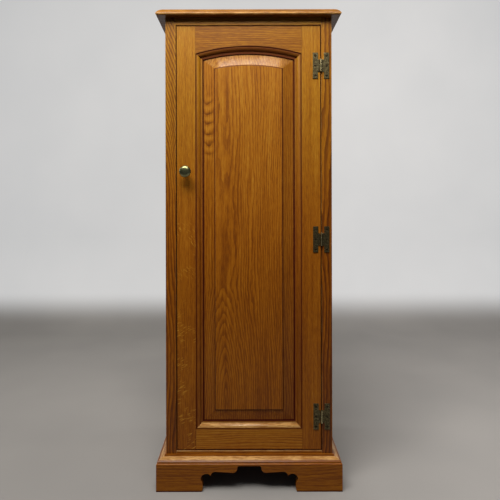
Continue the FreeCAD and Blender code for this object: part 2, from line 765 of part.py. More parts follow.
plinth_front_board()
plinth_side_board("plinth_left_board", LEFT)
plinth_side_board("plinth_right_board", RIGHT)
board(
    "plinth_back_rail",
    ("-case_half", "case_half"),
    ("back_rail_front", "back_face"),
    ("back_rail_rise", "case_bottom"),
)
BLOCK_CORNERS = [
    (side, wall, into)
    for side in (LEFT, RIGHT)
    for wall, into in (("front_face", 1), ("back_rail_front", -1))
]
grouped("plinth_corner_blocks", [corner_block(*corner) for corner in BLOCK_CORNERS])


# The shelves

def shelf(label, rise):
    body = new_body(label)
    edges = rectangle(
        "-(inner_half - shelf_side_gap)", "inner_half - shelf_side_gap", "shelf_front", "shelf_back",
    )
    pad(body, outline(body, "XY_Plane", "0", edges), "shelf_thickness")
    place_at(body, "0", "0", f"inner_floor + {rise}")
    return body


def shelf_studs():
    """Studs with a flange that lies on the side board's face."""
    stud = faceted([
        ("stud_radius", "-stud_depth"),
        ("stud_radius", "0"),
        ("stud_flange_radius", "0"),
        ("stud_flange_radius", "stud_flange_height"),
        ("stud_radius", "stud_flange_height"),
        ("stud_radius", "stud_reach"),
    ])
    solids = []
    for hand in (LEFT, RIGHT):
        spots = [(f"{hand} * inner_half", deep, high) for high in stud_heights() for deep in STUD_DEPTHS]
        solids += repeated(stud, inward(hand), spots)
    return grouped("shelf_studs", solids)


shelf("lower_shelf", "lower_shelf_rise")
shelf("middle_shelf", "middle_shelf_rise")
shelf("upper_shelf", "upper_shelf_rise")
shelf_studs()


# The door

def sticking():
    """Section of a moulded and grooved edge: (towards the panel, back from the face)."""
    round_foot = "quirk_drop + ovolo_drop"
    groove_back = "groove_front + groove_width"
    return [
        ("0", "0"),
        ("0", "quirk_drop"),
        ("quirk_width", "quirk_drop", "(ovolo_width^2 + ovolo_drop^2) / (2 * ovolo_drop)", 1),
        ("quirk_width + ovolo_width", round_foot),
        ("moulding_width", round_foot),
        ("moulding_width", "groove_front"),
        ("moulding_width - groove_depth", "groove_front"),
        ("moulding_width - groove_depth", groove_back),
        ("moulding_width", groove_back),
        ("moulding_width", "door_thickness"),
        ("0", "door_thickness"),
    ]


def upright_sticking(edge, toward):
    """The section in plan, for a stile."""
    return [
        (f"{edge} + {toward} * ({u})", f"front_face + {w}", *(bend[:1] + [toward] if bend else []))
        for u, w, *bend in sticking()
    ]


def level_sticking(edge, toward):
    """The section seen from the side, for a rail."""
    return [
        (f"front_face + {w}", f"{edge} + {toward} * ({u})", *(bend[:1] + [-toward] if bend else []))
        for u, w, *bend in sticking()
    ]


TENON_DEEP = ("tenon_front", "tenon_back")
TOP_TENON = ("spring_outer + tenon_shoulder", "door_top - tenon_shoulder")
BOTTOM_TENON = ("door_bottom + tenon_shoulder", "flat_top - tenon_shoulder")


def tenon_each_end(body, levels):
    """The two tenons of a door rail, each standing on its shoulder."""
    for start in ("rail_half", "-(rail_half + tenon_length)"):
        tenon = outline(body, "YZ_Plane", start, rectangle(*TENON_DEEP, *levels))
        pad(body, tenon, "tenon_length")


def door_stile(label, hand):
    """A stile: its flat, its moulded edge mitred at both ends, and the rails' mortises."""
    body = board(
        label,
        (f"{hand} * door_half", f"{hand} * rail_half"),
        ("front_face", "door_back"),
        ("door_bottom", "door_top"),
    )
    section = upright_sticking(f"{hand} * rail_half", -hand)
    pad(body, outline(body, "XY_Plane", "flat_top", section), "spring_outer - flat_top")
    flat, sight = f"{hand} * rail_half", f"{hand} * sight_half"
    lower_mitre = [(flat, "flat_top"), (sight, "flat_top"), (sight, "sight_bottom")]
    upper_mitre = [(flat, "spring_outer"), (sight, "spring_outer"), (sight, "spring_inner")]
    for mitre in (lower_mitre, upper_mitre):
        cut_through(body, outline(body, "XZ_Plane", "0", mitre))
    for tenon in (TOP_TENON, BOTTOM_TENON):
        mortise = outline(body, "YZ_Plane", flat, rectangle(*TENON_DEEP, *tenon))
        cut_into(body, mortise, "tenon_length")
    return body


def door_bottom_rail():
    body = board(
        "door_bottom_rail",
        ("-rail_half", "rail_half"),
        ("front_face", "door_back"),
        ("door_bottom", "flat_top"),
    )
    section = outline(body, "YZ_Plane", "0", level_sticking("flat_top", 1))
    pad_both_ways(body, section, "rail_half")
    for hand in (LEFT, RIGHT):
        flat, sight = f"{hand} * rail_half", f"{hand} * sight_half"
        mitre = [(flat, "flat_top"), (sight, "sight_bottom"), (flat, "sight_bottom")]
        cut_through(body, outline(body, "XZ_Plane", "0", mitre))
    tenon_each_end(body, BOTTOM_TENON)
    return body


def door_top_rail():
    """The arched rail: a flat with a curved lower edge, and the moulding turned about its centre."""
    body = new_body("door_top_rail")
    flat = [
        ("-rail_half", "door_top"),
        ("-rail_half", "spring_outer", "arch_radius", -1),
        ("rail_half", "spring_outer"),
        ("rail_half", "door_top"),
    ]
    pad(body, outline(body, "XZ_Plane", "front_face", flat), "door_thickness")
    section = outline(body, "YZ_Plane", "0", level_sticking("arch_crown", -1))
    centre_line = section.addGeometry(
        Part.LineSegment(
            Vector(measure("front_face"), measure("arch_middle"), 0),
            Vector(measure("door_back"), measure("arch_middle"), 0),
        ),
        True,
    )
    add_bound(section, [
        (constraint(kind, centre_line, end, measure(place)), place)
        for end, deep in ((1, "front_face"), (2, "door_back"))
        for kind, place in (("DistanceX", deep), ("DistanceY", "arch_middle"))
    ])
    moulding = body.newObject("PartDesign::Revolution", "door_top_rail_moulding")
    moulding.Profile = section
    moulding.ReferenceAxis = (section, ["Axis0"])
    moulding.Midplane = True
    moulding.setExpression("Angle", qualified("2 * asin(rail_half / arch_radius)"))
    finish(body, moulding, grows=True)
    for hand in (LEFT, RIGHT):
        outer, sight = f"{hand} * rail_half", f"{hand} * sight_half"
        below = "spring_inner - moulding_width"
        mitre = [(outer, "spring_outer"), (sight, "spring_inner"), (sight, below), (outer, below)]
        cut_through(body, outline(body, "XZ_Plane", "0", mitre))
    tenon_each_end(body, TOP_TENON)
    return body


def constraint(kind, edge, end, value):
    return Sketcher.Constraint(kind, -1, 1, edge, end, value)


def arched_outline(half, low, radius):
    """A panel's outline: straight sides and foot under an arch about the common centre."""
    spring = f"arch_middle + sqrt(({radius})^2 - ({half})^2)"
    return [(half, low), (half, spring, radius, 1), (f"-({half})", spring), (f"-({half})", low)]


def door_panel():
    """The raised panel: a tongue all round, a bevel that rises from it, and a stepped field."""
    body = new_body("door_panel")
    held = "(groove_depth - panel_play)"
    tongue = arched_outline(
        f"sight_half + {held}", f"sight_bottom - {held}", f"(sight_radius + {held})",
    )
    pad(body, outline(body, "XZ_Plane", "tongue_front", tongue), "tongue_thickness")
    sight = arched_outline("sight_half", "sight_bottom", "sight_radius")
    field = arched_outline(
        "(sight_half - bevel_width)", "sight_bottom + bevel_width", "(sight_radius - bevel_width)",
    )
    foot = outline(body, "XZ_Plane", "tongue_front", sight)
    brow = outline(body, "XZ_Plane", "bevel_top", field)
    bevel = body.newObject("PartDesign::AdditiveLoft", "door_panel_bevel")
    bevel.Profile = foot
    bevel.Sections = [brow]
    bevel.Ruled = True
    finish(body, bevel, grows=True)
    pad(body, outline(body, "XZ_Plane", "field_face", field), "field_step")
    return body


door_stile("hinge_stile", RIGHT)
knob_hole = plain_hole("knob_screw_radius + knob_screw_clearance", "door_thickness + overrun")
drilled(
    "lock_stile",
    door_stile("lock_stile_blank", LEFT),
    repeated(knob_hole, FRONTWARD, [("-knob_x", "front_face", "knob_z")]),
)
door_bottom_rail()
door_top_rail()
door_panel()


# The knob

def knob():
    """A turned knob whose foot sits on the door: it grows towards -Y from its own origin."""
    body = new_body("knob")
    bore = "knob_screw_radius + thread_clearance"
    rim_front = "-(knob_projection - knob_dome)"
    rim_back = "-(knob_projection - knob_dome - knob_rim)"
    corners = [
        ("0", bore),
        ("0", "knob_base_radius"),
        ("-knob_base_height", "knob_base_radius"),
        ("-knob_base_height", "knob_neck_radius"),
        (rim_back, "knob_neck_radius"),
        (rim_back, "knob_radius"),
        (rim_front, "knob_radius"),
        ("-knob_projection", "knob_face_radius"),
        ("-knob_projection", "0"),
        ("-knob_screw_reach", "0"),
        ("-knob_screw_reach", bore),
    ]
    turn_round(body, outline(body, "YZ_Plane", "0", corners), "H_Axis")
    place_at(body, "-knob_x", "front_face", "knob_z")
    return body


def knob_screw():
    """From the back of the stile into the knob."""
    screw = faceted([
        ("knob_screw_radius", "-(door_thickness + knob_screw_reach - thread_bottom_gap)"),
        ("knob_screw_radius", "0"),
        ("knob_screw_head_radius", "0"),
        ("knob_screw_head_radius", "knob_screw_head_height"),
    ])
    return grouped("knob_screw", repeated(screw, BACKWARD, [("-knob_x", "door_back", "knob_z")]))


knob()
knob_screw()


# The hinges

HINGES = (("upper", "upper_hinge_z"), ("middle", "middle_hinge_z"), ("lower", "lower_hinge_z"))
FRAME_KNUCKLES = (("-barrel_half", "outer_knuckle"), ("barrel_half - outer_knuckle", "outer_knuckle"))
DOOR_KNUCKLES = (("-knuckle_half", "2 * knuckle_half"),)
SCREW_STEPS = (-1, 0, 1)


def hinge_leaf(label, hand, knuckles, high):
    """One leaf of an H hinge, drawn about its pin: plate and neck, knuckles, screw holes."""
    body = new_body(label + "_blank")
    outer, neck, start = (f"{hand} * ({x})" for x in ("neck_half + leaf_width", "neck_half", "neck_start"))
    plate = [
        (outer, "-leaf_height / 2"), (outer, "leaf_height / 2"),
        (neck, "leaf_height / 2"), (neck, "barrel_half"),
        (start, "barrel_half"), (start, "-barrel_half"),
        (neck, "-barrel_half"), (neck, "-leaf_height / 2"),
    ]
    pad(body, outline(body, "XZ_Plane", "leaf_front", plate), "leaf_thickness")
    for low, height in knuckles:
        tongue = rectangle("0", start, low, f"{low} + {height}")
        pad(body, outline(body, "XZ_Plane", "leaf_front", tongue), "leaf_thickness")
        pad(body, circle(body, low, "barrel_radius"), height)
    cut_through(body, circle(body, "0", "pin_radius + pin_clearance"))
    spots = [(f"{hand} * leaf_screw_x", "leaf_front", f"{step} * hinge_screw_pitch") for step in SCREW_STEPS]
    leaf = drilled(label, body, repeated(countersunk_hole(), FRONTWARD, spots))
    place_at(leaf, "hinge_x", "hinge_y", high)
    return leaf


def hinge_pin(label, high):
    """A pin whose peened ends stand a little proud of the barrel."""
    body = new_body(label)
    pad_both_ways(body, circle(body, "0", "pin_radius"), "barrel_half + pin_proud")
    place_at(body, "hinge_x", "hinge_y", high)
    return body


def hinge_screw_spots(hand):
    return [
        (f"hinge_x + {hand} * leaf_screw_x", "hinge_y + leaf_front", f"{high} + {step} * hinge_screw_pitch")
        for name, high in HINGES
        for step in SCREW_STEPS
    ]


for name, high in HINGES:
    hinge_leaf(f"{name}_frame_leaf", RIGHT, FRAME_KNUCKLES, high)
    hinge_leaf(f"{name}_door_leaf", LEFT, DOOR_KNUCKLES, high)
    hinge_pin(f"{name}_hinge_pin", high)

screws("frame_hinge_screws", "hinge_screw_length", FRONTWARD, hinge_screw_spots(RIGHT))
screws("door_hinge_screws", "hinge_screw_length", FRONTWARD, hinge_screw_spots(LEFT))


# The magnetic catch

def catch_housing():
    """A block under the front batten, with two ears for its screws and a socket for the magnet."""
    left, right = "catch_middle - catch_width / 2", "catch_middle + catch_width / 2"
    body = board(
        "catch_housing_blank",
        (left, right),
        ("catch_front", "catch_front + catch_depth"),
        ("catch_low", "batten_low"),
    )
    ear_front = "catch_front + (catch_depth - ear_depth) / 2"
    ears = rectangle(
        f"{left} - ear_width", f"{right} + ear_width", ear_front, f"{ear_front} + ear_depth",
    )
    pad(body, outline(body, "XY_Plane", "batten_low - ear_thickness", ears), "ear_thickness")
    socket_high = "(magnet_thickness / 2 + pole_thickness + magnet_play)"
    socket_half = "(magnet_width / 2 + magnet_play)"
    socket = rectangle(
        f"catch_middle - {socket_half}", f"catch_middle + {socket_half}",
        f"magnet_z - {socket_high}", f"magnet_z + {socket_high}",
    )
    cut_into(body, outline(body, "XZ_Plane", "catch_front", socket), "magnet_depth + magnet_play")
    hole = plain_hole("screw_radius + screw_hole_clearance", "ear_thickness + overrun")
    spots = [(x, y, "batten_low - ear_thickness") for x, y in EAR_SCREWS]
    return drilled("catch_housing", body, repeated(hole, DOWNWARD, spots))


EAR_SCREWS = [
    (f"catch_middle + {hand} * (catch_width + ear_width) / 2", "catch_front + catch_depth / 2")
    for hand in (LEFT, RIGHT)
]


def catch_magnet():
    """The magnet between its two pole plates, which reach a little further forward."""
    layers = [
        ("lower_pole", "magnet_z - magnet_thickness / 2 - pole_thickness", "pole_thickness", "0"),
        ("magnet", "magnet_z - magnet_thickness / 2", "magnet_thickness", "magnet_proud"),
        ("upper_pole", "magnet_z + magnet_thickness / 2", "pole_thickness", "0"),
    ]
    boxes = []
    for name, low, height, sunk in layers:
        box = doc.addObject("Part::Box", name)
        box.setExpression("Length", qualified("magnet_width"))
        box.setExpression("Width", qualified(f"magnet_depth + magnet_proud - {sunk}"))
        box.setExpression("Height", qualified(height))
        place_at(box, "catch_middle - magnet_width / 2", f"pole_front + {sunk}", low)
        boxes.append(box)
    group = doc.addObject("Part::Compound", "catch_magnet")
    group.Links = boxes
    return group


def strike_plate():
    """The steel plate on the back of the door's top rail, opposite the magnet."""
    body = board(
        "strike_plate_blank",
        ("catch_middle - strike_width / 2", "catch_middle + strike_width / 2"),
        ("door_back", "door_back + strike_thickness"),
        ("magnet_z - strike_height / 2", "magnet_z + strike_height / 2"),
    )
    spots = [(x, "door_back + strike_thickness", "magnet_z") for x in STRIKE_SCREWS]
    return drilled("strike_plate", body, repeated(countersunk_hole(), BACKWARD, spots))


STRIKE_SCREWS = [f"catch_middle + {hand} * strike_screw_offset" for hand in (LEFT, RIGHT)]

catch_housing()
catch_magnet()
strike_plate()


# The screws that join the wooden pieces

screws(
    "catch_screws", "small_screw_length", DOWNWARD,
    [(x, y, "batten_low - ear_thickness - screw_head_height") for x, y in EAR_SCREWS],
)
screws(
    "strike_screws", "small_screw_length", BACKWARD,
    [(x, "door_back + strike_thickness", "magnet_z") for x in STRIKE_SCREWS],
)
screws(
    "top_screws", "top_screw_length", DOWNWARD,
    [
        (f"{step} * (inner_half - top_screw_inset)", deep, "batten_low")
        for deep in ("frame_back + batten_width / 2", "back_front - batten_width / 2")
        for step in (-1, 0, 1)
    ],
)
BACK_SCREW_ROWS = 4
back_screw_pitch = f"(case_top - case_bottom - 2 * back_screw_inset) / {BACK_SCREW_ROWS - 1}"
screws(
    "back_panel_screws", "back_screw_length", BACKWARD,
    [
        (f"{hand} * (inner_half + back_lap / 2)", "back_face",
         f"case_bottom + back_screw_inset + {row} * {back_screw_pitch}")
        for hand in (LEFT, RIGHT)
        for row in range(BACK_SCREW_ROWS)
    ],
)
screws(
    "plinth_screws", "plinth_screw_length", DOWNWARD,
    [
        (f"{side} * (case_half - side_thickness / 2)", f"{wall} + {into} * (block_size - block_cut)",
         "block_rise")
        for side, wall, into in BLOCK_CORNERS
    ],
)


# The finished pieces

def finished_pieces():
    """What nothing else is made from."""
    kinds = ("PartDesign::Body", "Part::Feature", "Part::Compound", "Part::Cut")
    return [item for item in doc.Objects if item.TypeId in kinds and not item.InList]


def check_and_write():
    doc.recompute()
    failed = [item.Label for item in doc.Objects if {"Invalid", "Error"} & set(item.State)]
    for item in finished_pieces():
        if item.Shape.isNull() or not item.Shape.isValid() or not item.Shape.Solids:
            failed.append(item.Label)
    if failed:
        raise ValueError("these pieces failed: " + ", ".join(failed))
    os.makedirs("parts", exist_ok=True)
    for item in finished_pieces():
        item.Shape.exportStep(os.path.join("parts", item.Label + ".step"))
        print(item.Label, len(item.Shape.Solids), round(item.Shape.Volume))


check_and_write()
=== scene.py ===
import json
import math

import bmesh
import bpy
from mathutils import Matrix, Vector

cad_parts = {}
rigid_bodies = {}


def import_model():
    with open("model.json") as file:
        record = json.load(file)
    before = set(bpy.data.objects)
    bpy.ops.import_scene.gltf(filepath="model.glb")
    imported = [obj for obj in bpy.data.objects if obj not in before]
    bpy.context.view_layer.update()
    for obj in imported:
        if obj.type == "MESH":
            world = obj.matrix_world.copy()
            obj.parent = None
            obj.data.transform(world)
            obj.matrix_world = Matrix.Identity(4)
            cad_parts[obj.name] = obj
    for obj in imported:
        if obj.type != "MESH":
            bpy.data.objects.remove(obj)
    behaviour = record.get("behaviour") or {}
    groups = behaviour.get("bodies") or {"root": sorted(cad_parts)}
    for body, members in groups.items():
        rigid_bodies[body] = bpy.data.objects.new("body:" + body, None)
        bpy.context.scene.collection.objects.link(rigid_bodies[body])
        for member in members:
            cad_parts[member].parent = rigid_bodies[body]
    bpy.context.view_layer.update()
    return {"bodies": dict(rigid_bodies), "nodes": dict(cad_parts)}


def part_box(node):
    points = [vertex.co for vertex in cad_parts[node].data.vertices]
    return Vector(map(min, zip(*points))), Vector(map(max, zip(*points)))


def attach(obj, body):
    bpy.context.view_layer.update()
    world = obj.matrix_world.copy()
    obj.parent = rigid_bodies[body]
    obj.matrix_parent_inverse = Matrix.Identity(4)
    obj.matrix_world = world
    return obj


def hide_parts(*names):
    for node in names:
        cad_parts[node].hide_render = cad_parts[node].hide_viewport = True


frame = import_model()

# %% [markdown]
# # A tall oak cupboard
#
# The model that was just loaded is the cupboard's exact joinery: every board, hinge leaf and screw at its
# true size, but with razor edges and no finish. This lesson gives each piece what a cabinet maker gives it:
# arrises rubbed round, boards with grain of their own, a toned varnish in the mouldings with painted shade
# laid in their corners and in the gaps, and brass that has gone brown.

MM = 0.001
NODES = frame["nodes"]


def in_scene(name, data):
    """A new object that carries a mesh, a curve, a lamp or a camera."""
    made = bpy.data.objects.new(name, data)
    bpy.context.collection.objects.link(made)
    return made


# %% [markdown]
# ## The camera
#
# The photograph was taken level, from 1.24 m in front of the plinth and 0.71 m above the floor. A
# camera that looks level keeps the cupboard's sides upright. The eye is higher than the middle of the
# cupboard, and a photographer would get the foot into the picture by shifting the lens rather than by
# tilting the camera, so the camera here has a small shift too. It leans by an eighth of a degree, as
# the photograph does.

# %% The camera
EYE = (-0.005, -1.408, 0.711)
LEAN = math.radians(0.12)
LENS_SHIFT = (0.0065, -0.0932)
camera_data = bpy.data.cameras.new("camera")
camera_data.sensor_width = 36
camera_data.lens = 36
camera_data.shift_x, camera_data.shift_y = LENS_SHIFT
camera = in_scene("camera", camera_data)
camera.location = EYE
camera.rotation_euler = (math.radians(90), LEAN, 0)
bpy.context.scene.camera = camera
print("camera at", EYE)

# %% [markdown]
# ## Signals: shader maths in plain expressions
#
# A finish is a recipe of small sums: so much of this streak, less of that pore. Written as nodes one
# by one such a recipe can't be read, so one small class wraps the output socket of a node and lets
# Python's own signs add the Math nodes. Colours are never put through Math nodes, which would turn
# them grey, but through Mix nodes.

# %% The signal class
def set_stops(ramp, stops):
    """Gives a colour ramp its stops, each a place and a colour."""
    while len(ramp.elements) < len(stops):
        ramp.elements.new(0.5)
    for element, (place, colour) in zip(ramp.elements, stops):
        element.position = place
        element.color = (*colour, 1.0)


class Signal:
    """What comes out of one socket of a tree's nodes."""

    def __init__(self, tree, socket):
        self.tree = tree
        self.socket = socket

    def node(self, kind, settings=None, inputs=None, output=0):
        """Adds a node of this kind, sets it up, feeds its sockets and gives one of its outputs."""
        made = self.tree.nodes.new(kind)
        for name, value in (settings or {}).items():
            if name == "stops":
                set_stops(made.color_ramp, value)
            else:
                setattr(made, name, value)
        for name, value in (inputs or {}).items():
            if isinstance(value, Signal):
                self.tree.links.new(value.socket, made.inputs[name])
            else:
                made.inputs[name].default_value = value
        return Signal(self.tree, made.outputs[output])

    def sum(self, operation, first, second=0.0):
        return self.node("ShaderNodeMath", {"operation": operation}, {0: first, 1: second})

    def __add__(self, other):
        return self.sum("ADD", self, other)

    def __radd__(self, other):
        return self.sum("ADD", other, self)

    def __sub__(self, other):
        return self.sum("SUBTRACT", self, other)

    def __rsub__(self, other):
        return self.sum("SUBTRACT", other, self)

    def __mul__(self, other):
        return self.sum("MULTIPLY", self, other)

    def __rmul__(self, other):
        return self.sum("MULTIPLY", other, self)

    def __truediv__(self, other):
        return self.sum("DIVIDE", self, other)

    def __pow__(self, other):
        return self.sum("POWER", self, other)

    def __abs__(self):
        return self.sum("ABSOLUTE", self)

    def largest(self, other):
        return self.sum("MAXIMUM", self, other)

    def fraction(self):
        """What is left when the whole number is taken off."""
        return self.sum("FRACT", self)

    def rise(self, low, high):
        """0 below low, 1 above high and a smooth rise between them."""
        inputs = {"Value": self, "From Min": low, "From Max": high}
        return self.node("ShaderNodeMapRange", {"interpolation_type": "SMOOTHSTEP"}, inputs)

    def line(self, place, width):
        """1 where the signal is at place, fading to 0 at width on each side."""
        return 1 - abs(self - place).rise(0.0, width)

    def ramp(self, stops):
        """A colour that changes with this signal."""
        return self.node("ShaderNodeValToRGB", {"stops": stops}, {0: self})

    def blend(self, other, share, way="MIX"):
        """This colour, with a share of the other colour mixed in."""
        settings = {"data_type": "RGBA", "blend_type": way}
        return self.node("ShaderNodeMix", settings, {0: share, 6: self, 7: other}, 2)

    def tinted(self, other, share):
        """This colour, multiplied by a share of the other colour."""
        return self.blend(other, share, "MULTIPLY")


print("a signal can", [name for name in vars(Signal) if not name.startswith("__")])

# %% [markdown]
# ## What every finish starts from
#
# A finish here is one all-round shader. What is the same all over is written on the shader itself, and
# what changes over the piece is a signal that is joined to it. Every pattern starts from the piece's
# own x, y and z in metres, so it runs through the wood as real grain does, and its sizes are real.

# %% Helpers for finishes
AXES = "xyz"
SEED_STEPS = (1.7, 2.9, 4.3)


def new_finish(name, **fixed):
    """A material, its shader, and the x, y and z of each point of the piece in metres."""
    made = bpy.data.materials.new(name)
    made.use_nodes = True
    shader = made.node_tree.nodes["Principled BSDF"]
    for socket, value in fixed.items():
        shader.inputs[socket.replace("_", " ")].default_value = value
    start = Signal(made.node_tree, None)
    spot = start.node("ShaderNodeTexCoord", output="Object")
    parts = [spot.node("ShaderNodeSeparateXYZ", inputs={0: spot}, output=axis) for axis in range(3)]
    return made, shader, parts


def feed(shader, **signals):
    """Joins signals to the shader's sockets."""
    for socket, signal in signals.items():
        signal.tree.links.new(signal.socket, shader.inputs[socket.replace("_", " ")])


def bumped(height, strength, depth):
    """The normal that a height signal gives."""
    return height.node("ShaderNodeBump", inputs={"Height": height, "Strength": strength, "Distance": depth})


def speckle(parts, size, seed, detail=2.0, roughness=0.5):
    """Soft noise whose spots have a size along each of the three parts; the seed moves it elsewhere."""
    spread = [part / length + seed * step for part, length, step in zip(parts, size, SEED_STEPS)]
    place = spread[0].node("ShaderNodeCombineXYZ", inputs=dict(zip("XYZ", spread)))
    inputs = {"Vector": place, "Scale": 1.0, "Detail": detail, "Roughness": roughness}
    return place.node("ShaderNodeTexNoise", inputs=inputs)


def rounded_edges(signal):
    """1 on the rounded edges of a piece, 0 on its faces."""
    return signal.node("ShaderNodeAttribute", {"attribute_name": "rubbed"}, output="Fac")


print("noise seeds move the pattern by", SEED_STEPS)

# %% [markdown]
# ## The studio
#
# A pale floor runs back and bends up into a pale wall, so there is no hard line behind the cupboard.
# To keep the wall pale without more light on the cupboard, it is given a faint glow of its own, and
# the glow and the pale colour are shown only to the camera and to shiny or clear things. To the soft
# light that bounces about, floor and wall are dark, as a wide room would be.

# %% Floor and backdrop
SWEEP_START, SWEEP_RADIUS, SWEEP_TOP, FLOOR_REACH = 1.30, 0.50, 3.2, 6.0
SWEEP_STEPS = 12


def sweep_outline():
    """Floor and wall from the side: flat, a quarter turn, upright."""
    points = [(-FLOOR_REACH, 0.0), (0.0, 0.0)]
    for step in range(SWEEP_STEPS + 1):
        turn = math.radians(90 * step / SWEEP_STEPS)
        points.append((SWEEP_START + SWEEP_RADIUS * math.sin(turn), SWEEP_RADIUS * (1 - math.cos(turn))))
    return points + [(SWEEP_START + SWEEP_RADIUS, SWEEP_TOP)]


def make_backdrop():
    corners = [(side * FLOOR_REACH, y, z) for y, z in sweep_outline() for side in (-1, 1)]
    faces = [(k, k + 1, k + 3, k + 2) for k in range(0, len(corners) - 2, 2)]
    mesh = bpy.data.meshes.new("backdrop")
    mesh.from_pydata(corners, [], faces)
    mesh.shade_smooth()
    return in_scene("backdrop", mesh)


backdrop = make_backdrop()
print("backdrop", len(backdrop.data.polygons), "faces")

# %% Paint of the backdrop
FLOOR_STOPS = [(0.3, (0.318, 0.312, 0.312)), (0.7, (0.355, 0.347, 0.345))]
UNSEEN_STOPS = [(0.3, (0.08, 0.08, 0.08)), (0.7, (0.10, 0.10, 0.10))]
# Painted light: the right-hand half of the floor is made paler for the camera, where the lamp leaves it
# darker.
RIGHT_PAINTED_LIGHT = (1.34, 1.34, 1.35, 1.0)
WALL_GLOW = {"Red": 0.41, "Green": 0.42, "Blue": 0.43}
SEEN_BY = ("Is Camera Ray", "Is Glossy Ray", "Is Transmission Ray")
paint, paint_shader, (back_x, back_y, back_z) = new_finish("pale_paint", Roughness=0.9, Emission_Strength=1.0)
cloud = speckle((back_x, back_y, back_z), (0.4, 0.4, 0.4), 3)
by_camera, by_gloss, by_glass = (cloud.node("ShaderNodeLightPath", output=ray) for ray in SEEN_BY)
seen = by_camera.largest(by_gloss).largest(by_glass)
# The floor seen by the camera grows paler towards the right: painted light.
floor_seen = cloud.ramp(FLOOR_STOPS).tinted(RIGHT_PAINTED_LIGHT, back_x.rise(0.05, 0.75))
glow = back_z.rise(0.02, 0.17) * seen
glow_parts = {part: glow * share for part, share in WALL_GLOW.items()}
lifted = cloud.node("ShaderNodeCombineColor", inputs=glow_parts)
feed(paint_shader, Base_Color=cloud.ramp(UNSEEN_STOPS).blend(floor_seen, seen), Emission_Color=lifted)
backdrop.data.materials.append(paint)
print("paint", len(paint.node_tree.nodes), "nodes")

# %% [markdown]
# ## The light
#
# One large soft lamp hangs high in front, a little to the left. It makes the top of the door brighter
# than its foot, puts a dark band below the overhanging top and lights the upper side of each moulding.
# A second one lights the top board, smaller ones show the sides and the back, and a dim sky fills the
# shadows.

# %% Lamps and sky
LAMP_COLOUR = (1.0, 0.95, 0.87)
SKY_COLOUR, SKY_STRENGTH = (0.92, 0.95, 1.0, 1.0), 0.06
LAMPS = [  # name, place, what it points at, width, height, power in watts
    ("high_lamp", (-0.30, -1.00, 2.06), (0.0, -0.15, 1.60), 1.3, 0.72, 41),
    ("overhead_lamp", (0.0, -0.60, 2.75), (0.0, -0.40, 0.0), 1.4, 0.5, 14),
    ("left_lamp", (-2.2, 0.35, 1.7), (-0.2, 0.05, 0.7), 0.8, 1.4, 9),
    ("right_lamp", (2.2, 0.35, 1.7), (0.2, 0.05, 0.7), 0.8, 1.4, 9),
    ("back_lamp", (0.0, 1.45, 1.45), (0.0, 0.18, 0.75), 0.4, 0.4, 6),
]
for name, place, aim, width, height, power in LAMPS:
    lamp = bpy.data.lights.new(name, "AREA")
    lamp.shape = "RECTANGLE"
    lamp.size, lamp.size_y = width, height
    lamp.energy = power
    lamp.color = LAMP_COLOUR
    hung = in_scene(name, lamp)
    hung.location = place
    hung.rotation_euler = (Vector(aim) - Vector(place)).to_track_quat("-Z", "Y").to_euler()

sky = bpy.data.worlds.new("sky")
sky.use_nodes = True
bpy.context.scene.world = sky
background = sky.node_tree.nodes["Background"]
background.inputs["Color"].default_value = SKY_COLOUR
background.inputs["Strength"].default_value = SKY_STRENGTH
bpy.context.scene.view_settings.view_transform = "Standard"
print("lamps", [light.name for light in bpy.data.lights])

# %% [markdown]
# ## Oak
#
# Oak is ring-porous: each year starts with a band of open pores, which show as short dark scratches
# along the grain, and ends in dense plain wood. A board is a flat cut through a stack of cones, so
# its face shows straight stripes where the cut is far from the heart of the tree and pointed arches
# where it is near. So the finish is worked out as the tree grew: the distance of a point from a
# heart line gives its year ring, slow noise makes that line wander, and marks of several sizes,
# drawn out along the grain, give the stripes, the shades and the pores. Every board gets its own
# heart line and seed, so no two are alike.

# %% Colours and marks of oak
DEEP_BROWN = (0.085, 0.019, 0.0015)
BROWN = (0.210, 0.055, 0.0018)
GOLD = (0.356, 0.115, 0.0042)
PALE_GOLD = (0.500, 0.222, 0.0190)
OAK_STOPS = [(0.12, DEEP_BROWN), (0.38, BROWN), (0.60, GOLD), (0.92, PALE_GOLD)]
# Dark red of a toner, also laid as painted shade in gaps, hollows and on faces that look down.
TONER_SHADE_COLOUR = (0.056, 0.0025, 0.0001, 1.0)
# Pale colour of worn edges, also laid as a painted highlight on the parts that stand out.
PALE_WEAR_AND_HIGHLIGHT = (0.64, 0.36, 0.12, 1.0)
MARKS = {  # length along the grain, width across it, step of the seed, detail, roughness
    "sway": (0.35, 0.06, 0, 1.0, 0.5),
    "wobble": (0.055, 0.011, 5, 2.0, 0.5),
    "fine": (0.022, 0.0010, 11, 2.0, 0.6),
    "dash": (0.020, 0.0022, 17, 2.0, 0.6),
    "middling": (0.22, 0.0085, 23, 3.0, 0.55),
    "streak": (0.15, 0.0032, 29, 2.0, 0.55),
    "broad": (0.60, 0.045, 37, 2.0, 0.5),
    "scratch": (0.010, 0.00045, 41, 1.0, 0.5),
}
SHADES = {"fine": 0.34, "dash": 0.44, "streak": 0.34, "middling": 0.22, "broad": 0.34}


def marks_in(board, seed):
    """All the marks of one board, as noise drawn out along its grain."""
    return {
        mark: speckle(board, (length, width, width), seed + step, detail, roughness)
        for mark, (length, width, step, detail, roughness) in MARKS.items()
    }


def growth_rings(board, marks, heart, lean, tilt, straight, bow, ring, wander):
    """How many years lie between the heart of the tree and a point of the board."""
    along, wide, deep = board
    sway = marks["sway"] - 0.5
    bent = (along - bow[1]).largest(0.0)
    across = wide + heart[0] + lean * along + bow[0] * bent * bent + 0.030 * sway
    below = deep + heart[1] + tilt * (straight - (straight - along).largest(0.0)) + 0.020 * sway
    return (across * across + below * below) ** 0.5 / ring + wander * (marks["wobble"] - 0.5)


print("oak colours", DEEP_BROWN, BROWN, GOLD, PALE_GOLD)
